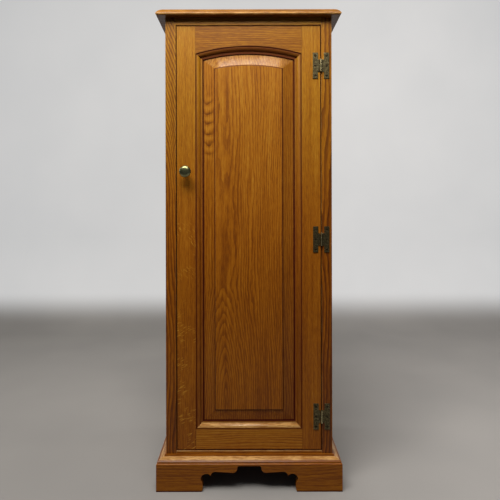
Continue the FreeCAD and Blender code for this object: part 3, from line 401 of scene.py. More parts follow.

# %% [markdown]
# ## The varnish
#
# Over the wood lie further layers, each a share of one more colour. High up the colour is tinted more golden
# and the wood is a little lighter, and low down it is darker: painted light and shade, for light that is
# stronger at the top of the cupboard than at its foot. Dark red lies wherever a board's own function says,
# partly toner and partly painted shade, and hides both wood and gloss. The rounded edges are worn pale in
# patches. The parts that stand out are painted paler still, most where the wood is hard, and made glossier: a
# painted highlight. The coat of varnish is clear and thin.

# %% The oak finish
PAINTED_GOLD_LOW, PAINTED_GOLD_HIGH = 0.58, 1.02


def oak(name, grain, seed, tone=0.0, heart=(0.05, 0.10), lean=0.0, tilt=0.0, bow=(0.0, 0.0), ring=0.0045,
        lines=1.0, straight=9.0, wander=0.8, flecks=None, figure=None, toner_and_shade=None, rubbed=None, polish=0.0,
        painted_gold=0.22):
    """Varnished oak. grain names the axes along the grain, across the face and into the board."""
    made, shader, parts = new_finish(name, Coat_Roughness=0.22, Specular_IOR_Level=0.16)
    board = [parts[AXES.index(axis)] for axis in grain]
    marks = marks_in(board, seed)
    year = growth_rings(board, marks, heart, lean, tilt, straight, bow, ring, wander).fraction()
    early = (1 - year.rise(0.10, 0.75)) * year.rise(0.0, 0.08)
    pores = marks["scratch"].rise(0.56, 0.68) * (0.25 + 0.75 * early)

    level = 0.58 + tone
    for mark, share in SHADES.items():
        level = level + share * (marks[mark] - 0.5)
    # 0.15 per metre of height: painted light and shade, the wood a little lighter high up and darker low
    #                           down.
    level = level + 0.15 * (parts[2] - 0.62) - lines * early * (0.05 + 0.24 * marks["dash"])
    colour = level.ramp(OAK_STOPS)
    # Painted light: higher up the colour is tinted more golden, as the light at the top of the cupboard is.
    colour = colour.tinted((0.98, 1.0 + painted_gold, 1.10, 1.0), parts[2].rise(PAINTED_GOLD_LOW, PAINTED_GOLD_HIGH))
    if flecks:
        colour = colour.blend((*PALE_GOLD, 1.0), flecks(*parts))
    if figure:
        colour = colour.blend((*DEEP_BROWN, 1.0), figure(*parts))
    colour = colour.blend((*DEEP_BROWN, 1.0), pores * 0.60)

    edge = rounded_edges(level)
    worn = speckle(parts, (0.03, 0.03, 0.03), seed + 67, 3.0).rise(0.40, 0.62)
    worn_and_lit_share = edge * (0.10 + 0.35 * worn)
    gloss = 0.42 + 0.20 * pores + 0.10 * (marks["middling"] - 0.5) - 0.05 * edge
    shine = 0.25 + 0.02 * worn - 0.12 * parts[2].rise(0.80, 1.10)
    # The board's dark red share, partly toner and partly painted shade, hides wood, worn edges and gloss.
    if toner_and_shade:
        toner_and_shade_share = toner_and_shade(*parts)
        colour = colour.blend(TONER_SHADE_COLOUR, toner_and_shade_share)
        worn_and_lit_share = worn_and_lit_share * (1 - toner_and_shade_share)
        gloss = gloss + 0.4 * toner_and_shade_share
    # Painted highlight: the parts that stand out are made paler and given more varnish.
    if rubbed:
        highlight_share = rubbed(*parts)
        worn_and_lit_share = worn_and_lit_share.largest(highlight_share * (0.52 + 0.42 * worn) * (0.45 + 0.85 * marks["dash"].rise(0.38, 0.60)))
        shine = shine + polish * highlight_share
    if toner_and_shade:
        shine = shine * (1 - toner_and_shade_share.rise(0.1, 0.9))
    relief = bumped(0.5 * marks["fine"] + 0.25 * year - pores, 0.35, 0.00025)
    feed(shader, Base_Color=colour.blend(PALE_WEAR_AND_HIGHLIGHT, worn_and_lit_share), Roughness=gloss, Coat_Weight=shine, Normal=relief)
    return made


print("varnish turns golden between", PAINTED_GOLD_LOW, "and", PAINTED_GOLD_HIGH, "m")

# %% [markdown]
# ## Rounding the arrises
#
# No board leaves a workshop with a razor edge: it is rubbed over with fine paper, so every edge
# catches a thread of light. The loaded mesh is loose triangles, so a copy is welded first and its
# flat faces made whole. Then only the edges that stick out are rounded, over 0.6 mm, and the small
# new faces are marked, so that the finish can be worn thin there. Slivers that the rounding leaves
# where three edges meet are closed up, which keeps the mesh a sound solid.

# %% Copying a loaded piece
SHARP, FLAT = math.radians(33), math.radians(0.6)


def welded(name):
    """The welded mesh of a loaded piece, with whole flat faces."""
    work = bmesh.new()
    work.from_mesh(NODES[name].data)
    bmesh.ops.remove_doubles(work, verts=work.verts, dist=0.01 * MM)
    bmesh.ops.dissolve_limit(work, angle_limit=FLAT, verts=work.verts, edges=work.edges)
    return work


def as_mesh(work, name):
    """Ends the work on a mesh and gives the result."""
    mesh = bpy.data.meshes.new(name)
    work.to_mesh(mesh)
    work.free()
    return mesh


def made_real(carrier):
    """The plain mesh that an object's curve or modifiers give; the object itself goes."""
    view = bpy.context.evaluated_depsgraph_get()
    mesh = bpy.data.meshes.new_from_object(carrier.evaluated_get(view))
    bpy.data.objects.remove(carrier)
    return mesh


trial = welded("top_board")
print("top board:", len(NODES["top_board"].data.vertices), "loose corners, welded to", len(trial.verts))
trial.free()


# %% Shading and showing a piece
def evened(mesh, name):
    """Smooth shading that keeps flat faces flat, whatever the small faces beside them do."""
    mesh.shade_smooth()
    mesh.set_sharp_from_angle(angle=SHARP)
    carrier = in_scene(name, mesh)
    carrier.modifiers.new("even", "WEIGHTED_NORMAL").keep_sharp = True
    return made_real(carrier)


def body_of(name):
    return next(body for body, empty in frame["bodies"].items() if NODES[name].parent == empty)


def show(mesh, name, body, finish, stands_for):
    """Makes a piece from a finished mesh and hands it to the frame."""
    mesh.materials.clear()
    mesh.materials.append(finish)
    made = in_scene(name, mesh)
    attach(made, body)
    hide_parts(*stands_for)
    return made


print("edges of less than", round(math.degrees(SHARP)), "degrees are shaded as one curve")

# %% Rounding
SLIVER, SHORTEST = 0.003 * MM, 2.0 * MM


def round_edges(work, size, shortest):
    """Rounds the outward edges of a welded mesh and marks the new faces with material 1."""
    edges = [
        edge for edge in work.edges
        if edge.is_manifold and edge.is_convex and edge.calc_face_angle() > SHARP
        and edge.calc_length() > shortest
    ]
    bmesh.ops.bevel(
        work, geom=edges, offset=size, offset_type="OFFSET", segments=2, profile=0.5,
        affect="EDGES", clamp_overlap=True, material=1,
    )
    bmesh.ops.dissolve_degenerate(work, edges=work.edges, dist=SLIVER)
    bmesh.ops.remove_doubles(work, verts=work.verts, dist=SLIVER)
    return len(edges)


def mark_rubbed(mesh):
    """Turns the mark of the rounded faces into a value that the finish can read."""
    rubbed = mesh.attributes.new("rubbed", "FLOAT", "FACE")
    rubbed.data.foreach_set("value", [float(face.material_index == 1) for face in mesh.polygons])
    mesh.polygons.foreach_set("material_index", [0] * len(mesh.polygons))


def rounded_piece(name, finish, size=0.6 * MM, shortest=SHORTEST):
    """A loaded piece with its arrises rounded."""
    work = welded(name)
    count = round_edges(work, size, shortest)
    mesh = as_mesh(work, name)
    mark_rubbed(mesh)
    made = show(evened(mesh, name), "rounded_" + name, body_of(name), finish, [name])
    print(name, count, "edges,", len(made.data.polygons), "faces")


print("on a board, arrises shorter than", SHORTEST / MM, "mm are left alone")

# %% [markdown]
# ## Toner and painted shade
#
# The cupboard was sprayed with a brown toner and rubbed back, so some toner stays in the corners of the
# mouldings as dark red lines. The same dark red is also laid as painted shade: deepening those lines and
# hollows, most on the arch's moulding, which faces down, and in the gap round the door, along the foot of the
# door, on the panel's lower and right-hand slopes, under the plinth's round and along its foot. The lines are
# worked out from the drawing: how far a point is from the line where two curves of the moulding meet. Each
# function takes the x, y and z of a point and gives the share of dark red there.

# %% The lines of the door
# Half widths, heights, radii and depths from the drawing, in metres.
RAIL_HALF, SIGHT_HALF, FLAT_TOP, SIGHT_LOW = 0.133, 0.115, 0.145, 0.163
ARCH_MIDDLE, ARCH_RADIUS, BEVEL = 0.642, 0.464, 0.0305
MOULDING = 0.018
DOOR_HALF, DOOR_MIDDLE, DOOR_HEIGHT, GAP, FRONT = 0.1805, 0.625, 1.062, 0.002, -0.15425
DOOR_LOW = DOOR_MIDDLE - DOOR_HEIGHT / 2


def frame_lines(inward, hollow=0.24, foot=0.0, quirk=0.88, crease=0.45):
    """The dark lines and darker hollow of a moulding, partly toner and partly painted shade, from its
    distance inward from the edge of the flat.
    """
    shade = hollow * inward.rise(0.0, 0.003) + foot * inward.rise(0.010, 0.013)
    lines = (quirk * inward.line(0.0012, 0.0035)).largest(inward.line(0.0180, 0.0038))
    return shade.largest(lines).largest(crease * inward.line(0.0120, 0.0024))


def in_front(y):
    """1 on the front of the door, 0 on its back half, which was not toned."""
    return (0 - y).rise(0.137, 0.140)


def into_gap(y):
    """1 from just behind the front face."""
    return (y - FRONT).rise(0.0004, 0.0012)


def gap_shade(outside, y):
    """Painted shade in the gap round the door, and a dark line beside it on the front that is partly toner
    and partly painted shade, from how far a point is past the door's edge.
    """
    side = 0.93 * outside.rise(-0.0004, -0.0001) * into_gap(y)
    return side.largest(0.65 * outside.rise(-0.0016, -0.0007) * in_front(y))


def from_arch(x, z):
    """How far a point is from the centre of the arches or, below it, from the door's middle line."""
    high = (z - ARCH_MIDDLE).largest(0.0)
    return (x * x + high * high) ** 0.5


print("door", round(2 * DOOR_HALF, 4), "by", DOOR_HEIGHT, "m, its foot at", round(DOOR_LOW, 4))


# %% Toner and painted shade on stiles and rails
def stile_toner_and_shade(x, y, z):
    # Toner lines and painted shade in the moulding, the hollow darker on the right-hand stile; painted shade
    # in the gap.
    ends = abs(z - DOOR_MIDDLE) - DOOR_HEIGHT / 2
    hollow = 0.14 + 0.10 * x.rise(-0.05, 0.05)
    lines = frame_lines(RAIL_HALF - abs(x), hollow) * in_front(y)
    return lines + gap_shade((abs(x) - DOOR_HALF).largest(ends), y)


def bottom_rail_toner_and_shade(x, y, z):
    # Painted shade: a dark band along the foot of the door, just above the gap; toner and painted shade in
    # the moulding.
    edge = 0.85 * (1 - z.rise(DOOR_LOW + 0.0008, DOOR_LOW + 0.0022)) * in_front(y)
    return (frame_lines(z - FLAT_TOP) * in_front(y)).largest(edge) + gap_shade(DOOR_LOW - z, y)


def top_rail_toner_and_shade(x, y, z):
    # The arch's moulding faces down and is darkened more than the others: painted shade over the toner lines;
    # painted shade in the gap above.
    lines = frame_lines(ARCH_RADIUS - from_arch(x, z), 0.55, 0.20, 1.0, 0.6) * in_front(y)
    return lines + gap_shade(z - DOOR_MIDDLE - DOOR_HEIGHT / 2, y)


def frame_gap_shade(x, y, z):
    """Painted shade on the edges of the face frame that look into the gap."""
    inside = (abs(x) - DOOR_HALF - GAP).largest(abs(z - DOOR_MIDDLE) - DOOR_HEIGHT / 2 - GAP)
    return 0.93 * (1 - inside.rise(0.0001, 0.0004)) * into_gap(y)


print("gap round the door", GAP / MM, "mm")

# %% Toner and painted shade on the panel, painted shade on the plinth
FIELD_HALF = SIGHT_HALF - BEVEL
FIELD_RADIUS = ARCH_RADIUS - MOULDING - BEVEL
ROUND_LOW, ROUND_MIDDLE, ROUND_TOP = 0.0708, 0.0750, 0.0800


def panel_toner_and_shade(x, y, z):
    """Painted shade on the panel's lower and right-hand slopes, and dark lines round the raised field and
    where the panel goes into its groove, partly toner and partly painted shade.
    """
    side = abs(x) - FIELD_HALF
    foot = (SIGHT_LOW + BEVEL) - z
    outward = side.largest(foot).largest(from_arch(x, z) - FIELD_RADIUS)
    shade = 0.22 * (foot - side).rise(0.0, 0.001) * outward.rise(0.0, 0.002)
    shade = shade + 0.20 * (x - FIELD_HALF).rise(0.0, 0.001)
    return shade + 0.9 * outward.line(0.0008, 0.0024) + 0.97 * outward.rise(BEVEL - 0.004, BEVEL - 0.0005)


def plinth_shade(x, y, z):
    """Painted shade on the under half of the plinth's big round, and a painted contact shadow along the foot,
    where the plinth meets the floor.
    """
    under = z.rise(ROUND_LOW, ROUND_LOW + 0.0014) * (1 - z.rise(ROUND_MIDDLE - 0.0008, ROUND_MIDDLE + 0.0012))
    return (0.30 * under).largest(0.92 * (1 - z.rise(0.0022, 0.0042)))


print("raised field", round(2 * FIELD_HALF, 4), "m wide, its arch of radius", round(FIELD_RADIUS, 4), "m")

# %% [markdown]
# ## Painted highlights
#
# The parts that stand out are the moulded edge of the top, the round of the bottom rail's moulding, the
# arched slope of the panel, the edge under the door and the big round of the plinth. There the wood is
# painted paler and the varnish made glossier: a painted highlight where light falls on them, and on the lower
# round of the top a painted reflection. These functions give the share of it there, in the same way.

# %% Painted highlights
TOP_HALF, TOP_FRONT, TOP_UNDERSIDE = 0.214, 0.160, 1.177
EDGE_SOFT = 0.0015


def moulding_highlight(x, y, z):
    """Painted highlight on the round of the bottom rail's moulding."""
    above = z - FLAT_TOP
    return above.rise(0.002, 0.004) * (1 - above.rise(0.0125, 0.0155)) * in_front(y)


def plinth_highlight(x, y, z):
    """Painted highlight on the upper half of the plinth's big round."""
    upper = z.rise(ROUND_MIDDLE - 0.001, ROUND_MIDDLE + 0.001)
    return 0.95 * upper * (1 - z.rise(ROUND_TOP - 0.001, ROUND_TOP))


def top_highlight(x, y, z):
    """Painted light on the moulded edge of the top: a faint highlight, and along its lower round a painted
    reflection.
    """
    outside = (abs(x) - TOP_HALF).largest(0 - y - TOP_FRONT)
    height = z - TOP_UNDERSIDE
    lower_round = 0.12 + 0.48 * (1 - height.rise(0.0025, 0.0080))
    return outside.rise(0.0, 0.004) * height.rise(0.0001, 0.0006) * lower_round


def rail_highlight(x, y, z):
    """Painted highlight on the front edge under the door."""
    return 1.4 * z.line(DOOR_LOW - GAP - EDGE_SOFT, EDGE_SOFT) * (1 - (y - FRONT).rise(0.00075, 0.00225))


def panel_highlight(x, y, z):
    """Painted highlight on the arched slope at the head of the panel."""
    head = from_arch(x, z) - FIELD_RADIUS
    side = abs(x) - FIELD_HALF
    return 0.25 * head.rise(0.001, 0.004) * (head - side).rise(-0.001, 0.002) * in_front(y)


print("top's edge is rubbed outside", TOP_HALF, "m")

# %% [markdown]
# ## Figure of two boards
#
# The lock stile was sawn from the heart of the tree outward. Such a cut runs along the tree's rays and
# shows them as light strokes at a slope to the grain. The left bevel of the panel cuts across the
# growth rings at a low angle, and shows them as sagging arcs. Each is a repeating pattern in a window
# with soft edges.

# %% Figure of two boards
ARCS_AT, ARCS_SAG, ARCS_APART = -0.101, 26.0, 0.0255


def slanted(x, y, z, slope):
    """Light strokes, each a cut through a ray of the tree, at a slope to the grain."""
    turn = math.atan(slope)
    along = x * math.cos(turn) + z * math.sin(turn)
    across = z * math.cos(turn) - x * math.sin(turn)
    return speckle((along, y, across), (0.016, 0.02, 0.0026), 71, 1.0).rise(0.57, 0.66)


def ray_flecks(x, y, z):
    """Quarter-sawn flecks: falling to the right in the middle of the stile, rising in its lower half."""
    patch = speckle((x, y, z), (0.04, 0.05, 0.045), 73, 1.0).rise(0.46, 0.58)
    falling = slanted(x, y, z, -0.9) * z.rise(0.50, 0.56) * (1 - z.rise(0.62, 0.70))
    rising = slanted(x, y, z, 0.45) * (1 - z.rise(0.44, 0.52))
    return (falling + rising) * patch * (0 - x).rise(RAIL_HALF, RAIL_HALF + 0.001) * 0.95


def arcs_on_slope(x, y, z):
    """Sagging arcs on the left bevel: where in its year a point is, and the window they show in."""
    middle = x - ARCS_AT
    waver = speckle((x, y, z), (0.02, 0.02, 0.03), 77, 1.0)
    arcs = (z - ARCS_SAG * middle * middle) / ARCS_APART + 0.8 * waver
    window = z.rise(0.80, 0.86) * (1 - z.rise(0.955, 0.995)) * x.line(ARCS_AT, 0.022) * in_front(y)
    return arcs.fraction(), window


def dark_ripple(x, y, z):
    year, window = arcs_on_slope(x, y, z)
    return (1 - year.rise(0.12, 0.42)) * year.rise(0.0, 0.12) * window * 0.80


def pale_ripple(x, y, z):
    year, window = arcs_on_slope(x, y, z)
    return year.rise(0.35, 0.60) * (1 - year.rise(0.75, 1.0)) * window * 0.45


print("arcs every", ARCS_APART / MM, "mm")

# %% [markdown]
# ## The boards
#
# Every board now gets an oak of its own. Grain says how it lies in the cupboard; heart, lean, tilt, bow and
# ring say how it was sawn from the tree; tone how it took the colour, and the golden share how strongly
# painted light tints its upper part. The values come from the real boards one by one: arches low on the
# panel, plain stripes on the stiles.

# %% The boards
BOARDS = {
    "left_side_board": dict(grain="zyx", seed=1, tone=-0.02, heart=(0.10, 0.06), tilt=0.04),
    "right_side_board": dict(grain="zyx", seed=2, tone=0.02, heart=(-0.05, 0.12), tilt=0.05),
    "bottom_board": dict(grain="xyz", seed=3),
    "front_top_batten": dict(grain="xyz", seed=4, tone=-0.05),
    "back_top_batten": dict(grain="xyz", seed=5, tone=-0.05),
    "left_front_stile": dict(
        grain="zxy", seed=6, tone=-0.09, painted_gold=0.30, heart=(0.30, 0.20), bow=(0.30, 0.55), ring=0.0062,
        lines=1.5, toner_and_shade=frame_gap_shade,
    ),
    "right_front_stile": dict(
        grain="zxy", seed=7, tone=-0.12, heart=(-0.15, 0.20), lean=-0.02, ring=0.006, lines=1.6,
        toner_and_shade=frame_gap_shade,
    ),
    "top_front_rail": dict(grain="xzy", seed=8, tone=0.04, heart=(-1.10, 0.2), toner_and_shade=frame_gap_shade),
    "bottom_front_rail": dict(
        grain="xzy", seed=9, tone=0.03, heart=(0.0, 0.2), toner_and_shade=frame_gap_shade, rubbed=rail_highlight, polish=0.5,
    ),
    "top_board": dict(
        grain="xyz", seed=10, tone=-0.22, painted_gold=0.34, heart=(0.06, -1.05), rubbed=top_highlight, polish=0.3,
    ),
    "plinth_front_board": dict(
        grain="xzy", seed=11, tone=0.035, heart=(0.02, 0.24), ring=0.006, lines=0.7, toner_and_shade=plinth_shade,
        rubbed=plinth_highlight,
    ),
    "plinth_left_board": dict(grain="yzx", seed=12, tone=0.03, toner_and_shade=plinth_shade, rubbed=plinth_highlight),
    "plinth_right_board": dict(grain="yzx", seed=13, tone=0.03, toner_and_shade=plinth_shade, rubbed=plinth_highlight),
    "plinth_back_rail": dict(grain="xzy", seed=14, tone=-0.06),
    "plinth_corner_blocks": dict(grain="zxy", seed=15, tone=-0.10),
    "lower_shelf": dict(grain="xyz", seed=16),
    "middle_shelf": dict(grain="xyz", seed=17),
    "upper_shelf": dict(grain="xyz", seed=18),
    "lock_stile": dict(
        grain="zxy", seed=19, tone=-0.01, heart=(0.32, 0.15), lean=0.01, ring=0.0032, lines=0.6,
        flecks=ray_flecks, toner_and_shade=stile_toner_and_shade,
    ),
    "hinge_stile": dict(grain="zxy", seed=20, heart=(-0.30, 0.22), ring=0.003, lines=0.6, toner_and_shade=stile_toner_and_shade),
    "door_top_rail": dict(
        grain="xzy", seed=21, tone=-0.12, heart=(-0.98, 0.2), ring=0.0042, lines=0.9, toner_and_shade=top_rail_toner_and_shade,
    ),
    "door_bottom_rail": dict(
        grain="xzy", seed=22, tone=0.21, heart=(0.1, 0.2), lines=1.2, toner_and_shade=bottom_rail_toner_and_shade,
        rubbed=moulding_highlight, polish=0.95,
    ),
    "door_panel": dict(
        grain="zxy", seed=23, heart=(0.060, 0.123), tilt=0.15, straight=0.50, ring=0.0052, wander=1.2,
        flecks=pale_ripple, figure=dark_ripple, toner_and_shade=panel_toner_and_shade, rubbed=panel_highlight, polish=0.7,
        painted_gold=0.10,
    ),
}
for board, looks in BOARDS.items():
    rounded_piece(board, oak("oak_" + board, **looks))

veneer = oak("veneer_back_panel", grain="zxy", seed=30, tone=0.06, heart=(0.02, 0.4))
rounded_piece("back_panel", veneer, 0.3 * MM)

# %% [markdown]
# ## Aged brass
#
# The hinges and the knob are brass that was darkened with a chemical and then handled. What was rubbed is
# green-gold and fairly bright, what was not is nearly black-brown. The colour goes from one to the other with
# a cloudy noise, and the bright parts are also the smoother ones. The knob, which hands touch every day, is
# the brightest. Down the front of each hinge's barrel the brass is painted brighter: a painted highlight.

# %% Brass
PIN_X, PIN_Y = 0.1815, -0.15745
BRASS_STOPS = [
    (0.25, (0.030, 0.022, 0.010)), (0.50, (0.095, 0.076, 0.036)),
    (0.75, (0.27, 0.235, 0.120)), (0.95, (0.60, 0.52, 0.30)),
]
KNOB_STOPS = [
    (0.25, (0.030, 0.034, 0.014)), (0.50, (0.125, 0.140, 0.062)),
    (0.75, (0.33, 0.325, 0.175)), (0.95, (0.64, 0.58, 0.40)),
]


def aged_brass(name, seed, worn, wear_size=0.004, stops=BRASS_STOPS, painted_highlight=None, rough=0.58):
    made, shader, parts = new_finish(name, Specular_IOR_Level=0.5)
    cloudy = speckle(parts, (wear_size,) * 3, seed, 4.0, 0.65)
    grit = speckle(parts, (0.0006,) * 3, seed + 3, 2.0)
    level = cloudy + 0.25 * (grit - 0.5) + worn + 0.22 * rounded_edges(cloudy)
    if painted_highlight:
        level = level + painted_highlight(*parts)
    feed(
        shader, Base_Color=level.ramp(stops), Metallic=0.75 + 0.25 * level.rise(0.3, 0.6),
        Roughness=rough - 0.26 * level, Normal=bumped(grit + cloudy, 0.25, 0.0002),
    )
    return made


def barrel_highlight(x, y, z):
    """Painted highlight: a brighter line down the front of the barrel."""
    return 0.40 * x.line(PIN_X, 0.0022) * (1 - y.rise(-0.1590, -0.1572))


hinge_brass = aged_brass("aged_brass", 2, 0.0, painted_highlight=barrel_highlight)
screw_brass = aged_brass("dark_brass", 5, -0.22)
knob_brass = aged_brass("handled_brass", 9, 0.17, 0.02, KNOB_STOPS, rough=0.46)
print("brass", hinge_brass.name, screw_brass.name, knob_brass.name)

# %% [markdown]
# ## Steel and plastic
#
# What nobody sees with the door shut is plainer: zinc-plated screws with a cloudy plating, the magnet
# between its two steel plates, and the catch's brown housing, moulded in a mould with a fine grit.

# %% Steel and plastic
ZINC, DULL_ZINC = (0.62, 0.62, 0.60), (0.40, 0.41, 0.42)
PLASTIC_STOPS = [(0.3, (0.055, 0.027, 0.013)), (0.7, (0.075, 0.038, 0.018))]


def plated_steel(name, seed, colour=ZINC, dull=DULL_ZINC):
    made, shader, parts = new_finish(name, Metallic=1.0)
    cloudy = speckle(parts, (0.004,) * 3, seed, 3.0, 0.6)
    shade = cloudy.ramp([(0.35, dull), (0.65, colour)])
    feed(shader, Base_Color=shade, Roughness=0.28 + 0.25 * cloudy, Normal=bumped(cloudy, 0.1, 0.0001))
    return made


def moulded_plastic(name, seed):
    made, shader, parts = new_finish(name)
    grit = speckle(parts, (0.0008,) * 3, seed, 2.0)
    shade = grit.ramp(PLASTIC_STOPS)
    feed(shader, Base_Color=shade, Roughness=0.42 + 0.12 * grit, Normal=bumped(grit, 0.2, 0.0001))
    return made


zinc = plated_steel("zinc_plate", 4)
plastic = moulded_plastic("brown_plastic", 6)
print("steel and plastic", zinc.name, plastic.name)

# %% [markdown]
# ## The knob
#
# A mushroom knob is turned on a lathe, so half of its outline, turned once round, is the whole shape.
# The outline goes from the foot against the door through a hollow neck to a thin rim and a low dome.
# A smooth curve is drawn through a few measured points, which keeps the outline easy to change.

# %% Turning
def smooth_points(points, steps):
    """Points on a smooth curve through the given ones."""
    out = []
    ends = [points[0], *points, points[-1]]
    for a, b, c, d in zip(ends, ends[1:], ends[2:], ends[3:]):
        for k in range(steps):
            t = k / steps
            out.append(tuple(
                0.5 * (2 * q + (r - p) * t + (2 * p - 5 * q + 4 * r - s) * t ** 2
                       + (3 * q - p - 3 * r + s) * t ** 3)
                for p, q, r, s in zip(a, b, c, d)
            ))
    return out + [points[-1]]


def turned(outline, sides, foot, outward):
    """A mesh turned round the line that leaves foot in the direction outward."""
    work = bmesh.new()
    side = outward.orthogonal().normalized() * MM
    path = [work.verts.new(foot + outward * (out * MM) + side * max(radius, 0.0)) for out, radius in outline]
    edges = [work.edges.new(pair) for pair in zip(path, path[1:])]
    bmesh.ops.spin(
        work, geom=path + edges, cent=foot, axis=outward, angle=2 * math.pi, steps=sides, use_merge=True,
    )
    bmesh.ops.remove_doubles(work, verts=work.verts, dist=0.005 * MM)
    bmesh.ops.recalc_face_normals(work, faces=work.faces)
    mesh = as_mesh(work, "turned")
    mesh.shade_smooth()
    return mesh


print("a smooth curve through three points", smooth_points([(0, 0), (1, 1), (2, 0)], 2))

# %% The knob
KNOB = [  # height above the door and radius, in mm
    (0.0, 0.0), (0.0, 7.7), (0.5, 8.0), (1.7, 8.0), (2.5, 7.3), (3.2, 5.7), (4.6, 4.8), (9.0, 4.5),
    (14.0, 5.0), (17.4, 6.9), (19.6, 9.9), (20.6, 12.0), (21.3, 13.6), (22.4, 14.5), (23.8, 14.5),
    (25.3, 14.0), (26.8, 12.9), (28.0, 11.3), (29.0, 8.9), (29.6, 6.0), (29.92, 2.8), (30.0, 0.0),
]
KNOB_SIDES = 64
low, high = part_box("knob")
knob_foot = Vector(((low.x + high.x) / 2, high.y, (low.z + high.z) / 2))
knob_mesh = turned(smooth_points(KNOB, 3), KNOB_SIDES, knob_foot, Vector((0, -1, 0)))
knob = show(knob_mesh, "mushroom_knob", "door", knob_brass, ["knob"])

# %% [markdown]
# ## Hinges
#
# An H hinge is two stamped plates, each with a neck, and three knuckles rolled round one pin. The
# frame's leaf has the outer two knuckles and the door's leaf the middle one. A flat curve with a hole
# for each screw, thickened and given a rounded edge, makes the plate in one step. The knuckles are
# turned, with their ends rolled over, which is what catches the light on the real hinge.

# %% A leaf's plate
# All in mm: heights from the middle of the hinge, distances from the pin.
LEAF_HALF, NECK_HALF, NECK, NECK_END, TONGUE = 32.5, 15.5, 7.5, 3.3, 1.2
LEAF_FAR, LEAF_THICK, PLATE_EDGE, SCREW_OUT, PITCH, HOLE = 20.5, 1.8, 0.45, 14.0, 25.0, 3.0
HOLE_SIDES = 24


def add_loop(curve, points):
    """One closed outline of a flat curve."""
    loop = curve.splines.new("POLY")
    loop.points.add(len(points) - 1)
    loop.use_cyclic_u = True
    for point, (across, up) in zip(loop.points, points):
        point.co = (across * MM, up * MM, 0.0, 1.0)


def leaf_outline(knuckles):
    """The leaf's edge: its long side, the neck, and a tongue to each knuckle."""
    edge = [(LEAF_FAR, -LEAF_HALF), (LEAF_FAR, LEAF_HALF), (NECK, LEAF_HALF), (NECK, NECK_HALF)]
    edge += [(NECK_END, NECK_HALF)] if knuckles[-1][1] < NECK_HALF else []
    for low, high in reversed(knuckles):
        step = [(NECK_END, high)] if high < NECK_HALF else []
        edge += [*step, (TONGUE, high), (TONGUE, low)] + ([(NECK_END, low)] if low > -NECK_HALF else [])
    edge += [(NECK_END, -NECK_HALF)] if knuckles[0][0] > -NECK_HALF else []
    return edge + [(NECK, -NECK_HALF), (NECK, -LEAF_HALF)]


def plate(knuckles):
    """A leaf's plate with its three screw holes and a rounded edge."""
    curve = bpy.data.curves.new("plate", "CURVE")
    curve.dimensions = "2D"
    curve.fill_mode = "BOTH"
    curve.extrude = (LEAF_THICK / 2 - PLATE_EDGE) * MM
    curve.bevel_depth = PLATE_EDGE * MM
    curve.bevel_resolution = 2
    curve.offset = -PLATE_EDGE * MM
    add_loop(curve, leaf_outline(knuckles))
    turns = [2 * math.pi * k / HOLE_SIDES for k in range(HOLE_SIDES)]
    for up in (-PITCH, 0.0, PITCH):
        add_loop(curve, [(SCREW_OUT + HOLE * math.cos(turn), up + HOLE * math.sin(turn)) for turn in turns])
    return made_real(in_scene("plate", curve))


print("leaf", 2 * LEAF_HALF, "mm high,", LEAF_THICK, "mm thick")

# %% Leaves, knuckles and pins
BARREL, BORE, KNUCKLE, MIDDLE_KNUCKLE, ROLLED = 3.0, 1.55, 10.0, 5.2, 0.7
BARREL_SIDES = 28


def tube_outline(low, high):
    """A rolled knuckle: bored, with the outer edges of its ends rounded."""
    outer = [(low, BARREL - ROLLED), (low + ROLLED * 0.3, BARREL - ROLLED * 0.3), (low + ROLLED, BARREL)]
    top = [(low + high - at, radius) for at, radius in reversed(outer)]
    return [(low, BORE), *outer, *top, (high, BORE), (low, BORE)]


def leaf(place, part, hand, knuckles, body):
    """A plate with its knuckles; hand is 1 for the leaf to the right of the pin and -1 for the left."""
    low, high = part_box(f"{place}_{part}")
    middle = Vector((PIN_X, PIN_Y, (low.z + high.z) / 2))
    work = bmesh.new()
    work.from_mesh(plate(knuckles))
    turn = Matrix(((hand, 0, 0), (0, 0, -1), (0, 1, 0))).to_4x4()
    depth = FRONT - LEAF_THICK / 2 * MM
    work.transform(Matrix.Translation((middle.x, depth, middle.z)) @ turn)
    for bottom, top in knuckles:
        work.from_mesh(turned(tube_outline(bottom, top), BARREL_SIDES, middle, Vector((0, 0, 1))))
    bmesh.ops.remove_doubles(work, verts=work.verts, dist=0.004 * MM)
    bmesh.ops.recalc_face_normals(work, faces=work.faces)
    mesh = evened(as_mesh(work, "leaf"), "leaf")
    name = f"{place}_{part}"
    return show(mesh, name + "_plate", body, hinge_brass, [name])


outer_pair = [(-NECK_HALF, -NECK_HALF + KNUCKLE), (NECK_HALF - KNUCKLE, NECK_HALF)]
for place in ("upper", "middle", "lower"):
    frame_leaf = leaf(place, "frame_leaf", 1, outer_pair, "cabinet")
    door_leaf = leaf(place, "door_leaf", -1, [(-MIDDLE_KNUCKLE, MIDDLE_KNUCKLE)], "door")
    rounded_piece(f"{place}_hinge_pin", hinge_brass, 0.35 * MM, 0.9 * MM)
    print(place, "hinge", len(frame_leaf.data.polygons), "+", len(door_leaf.data.polygons), "faces")

# %% [markdown]
# ## Screws and studs
#
# The cupboard has more than fifty screws and studs of a few kinds, so nearly all of them are made by
# recipes of Geometry Nodes. Each is one closed turned shape: a line with a point at each height is
# swept by a ring as wide as the piece is there. The recipe then stands the shape on every point, turns
# it to face the way the point says, gives it a chance angle, and makes real mesh of it.

# %% A lathe made of nodes
RING_SIDES = 20


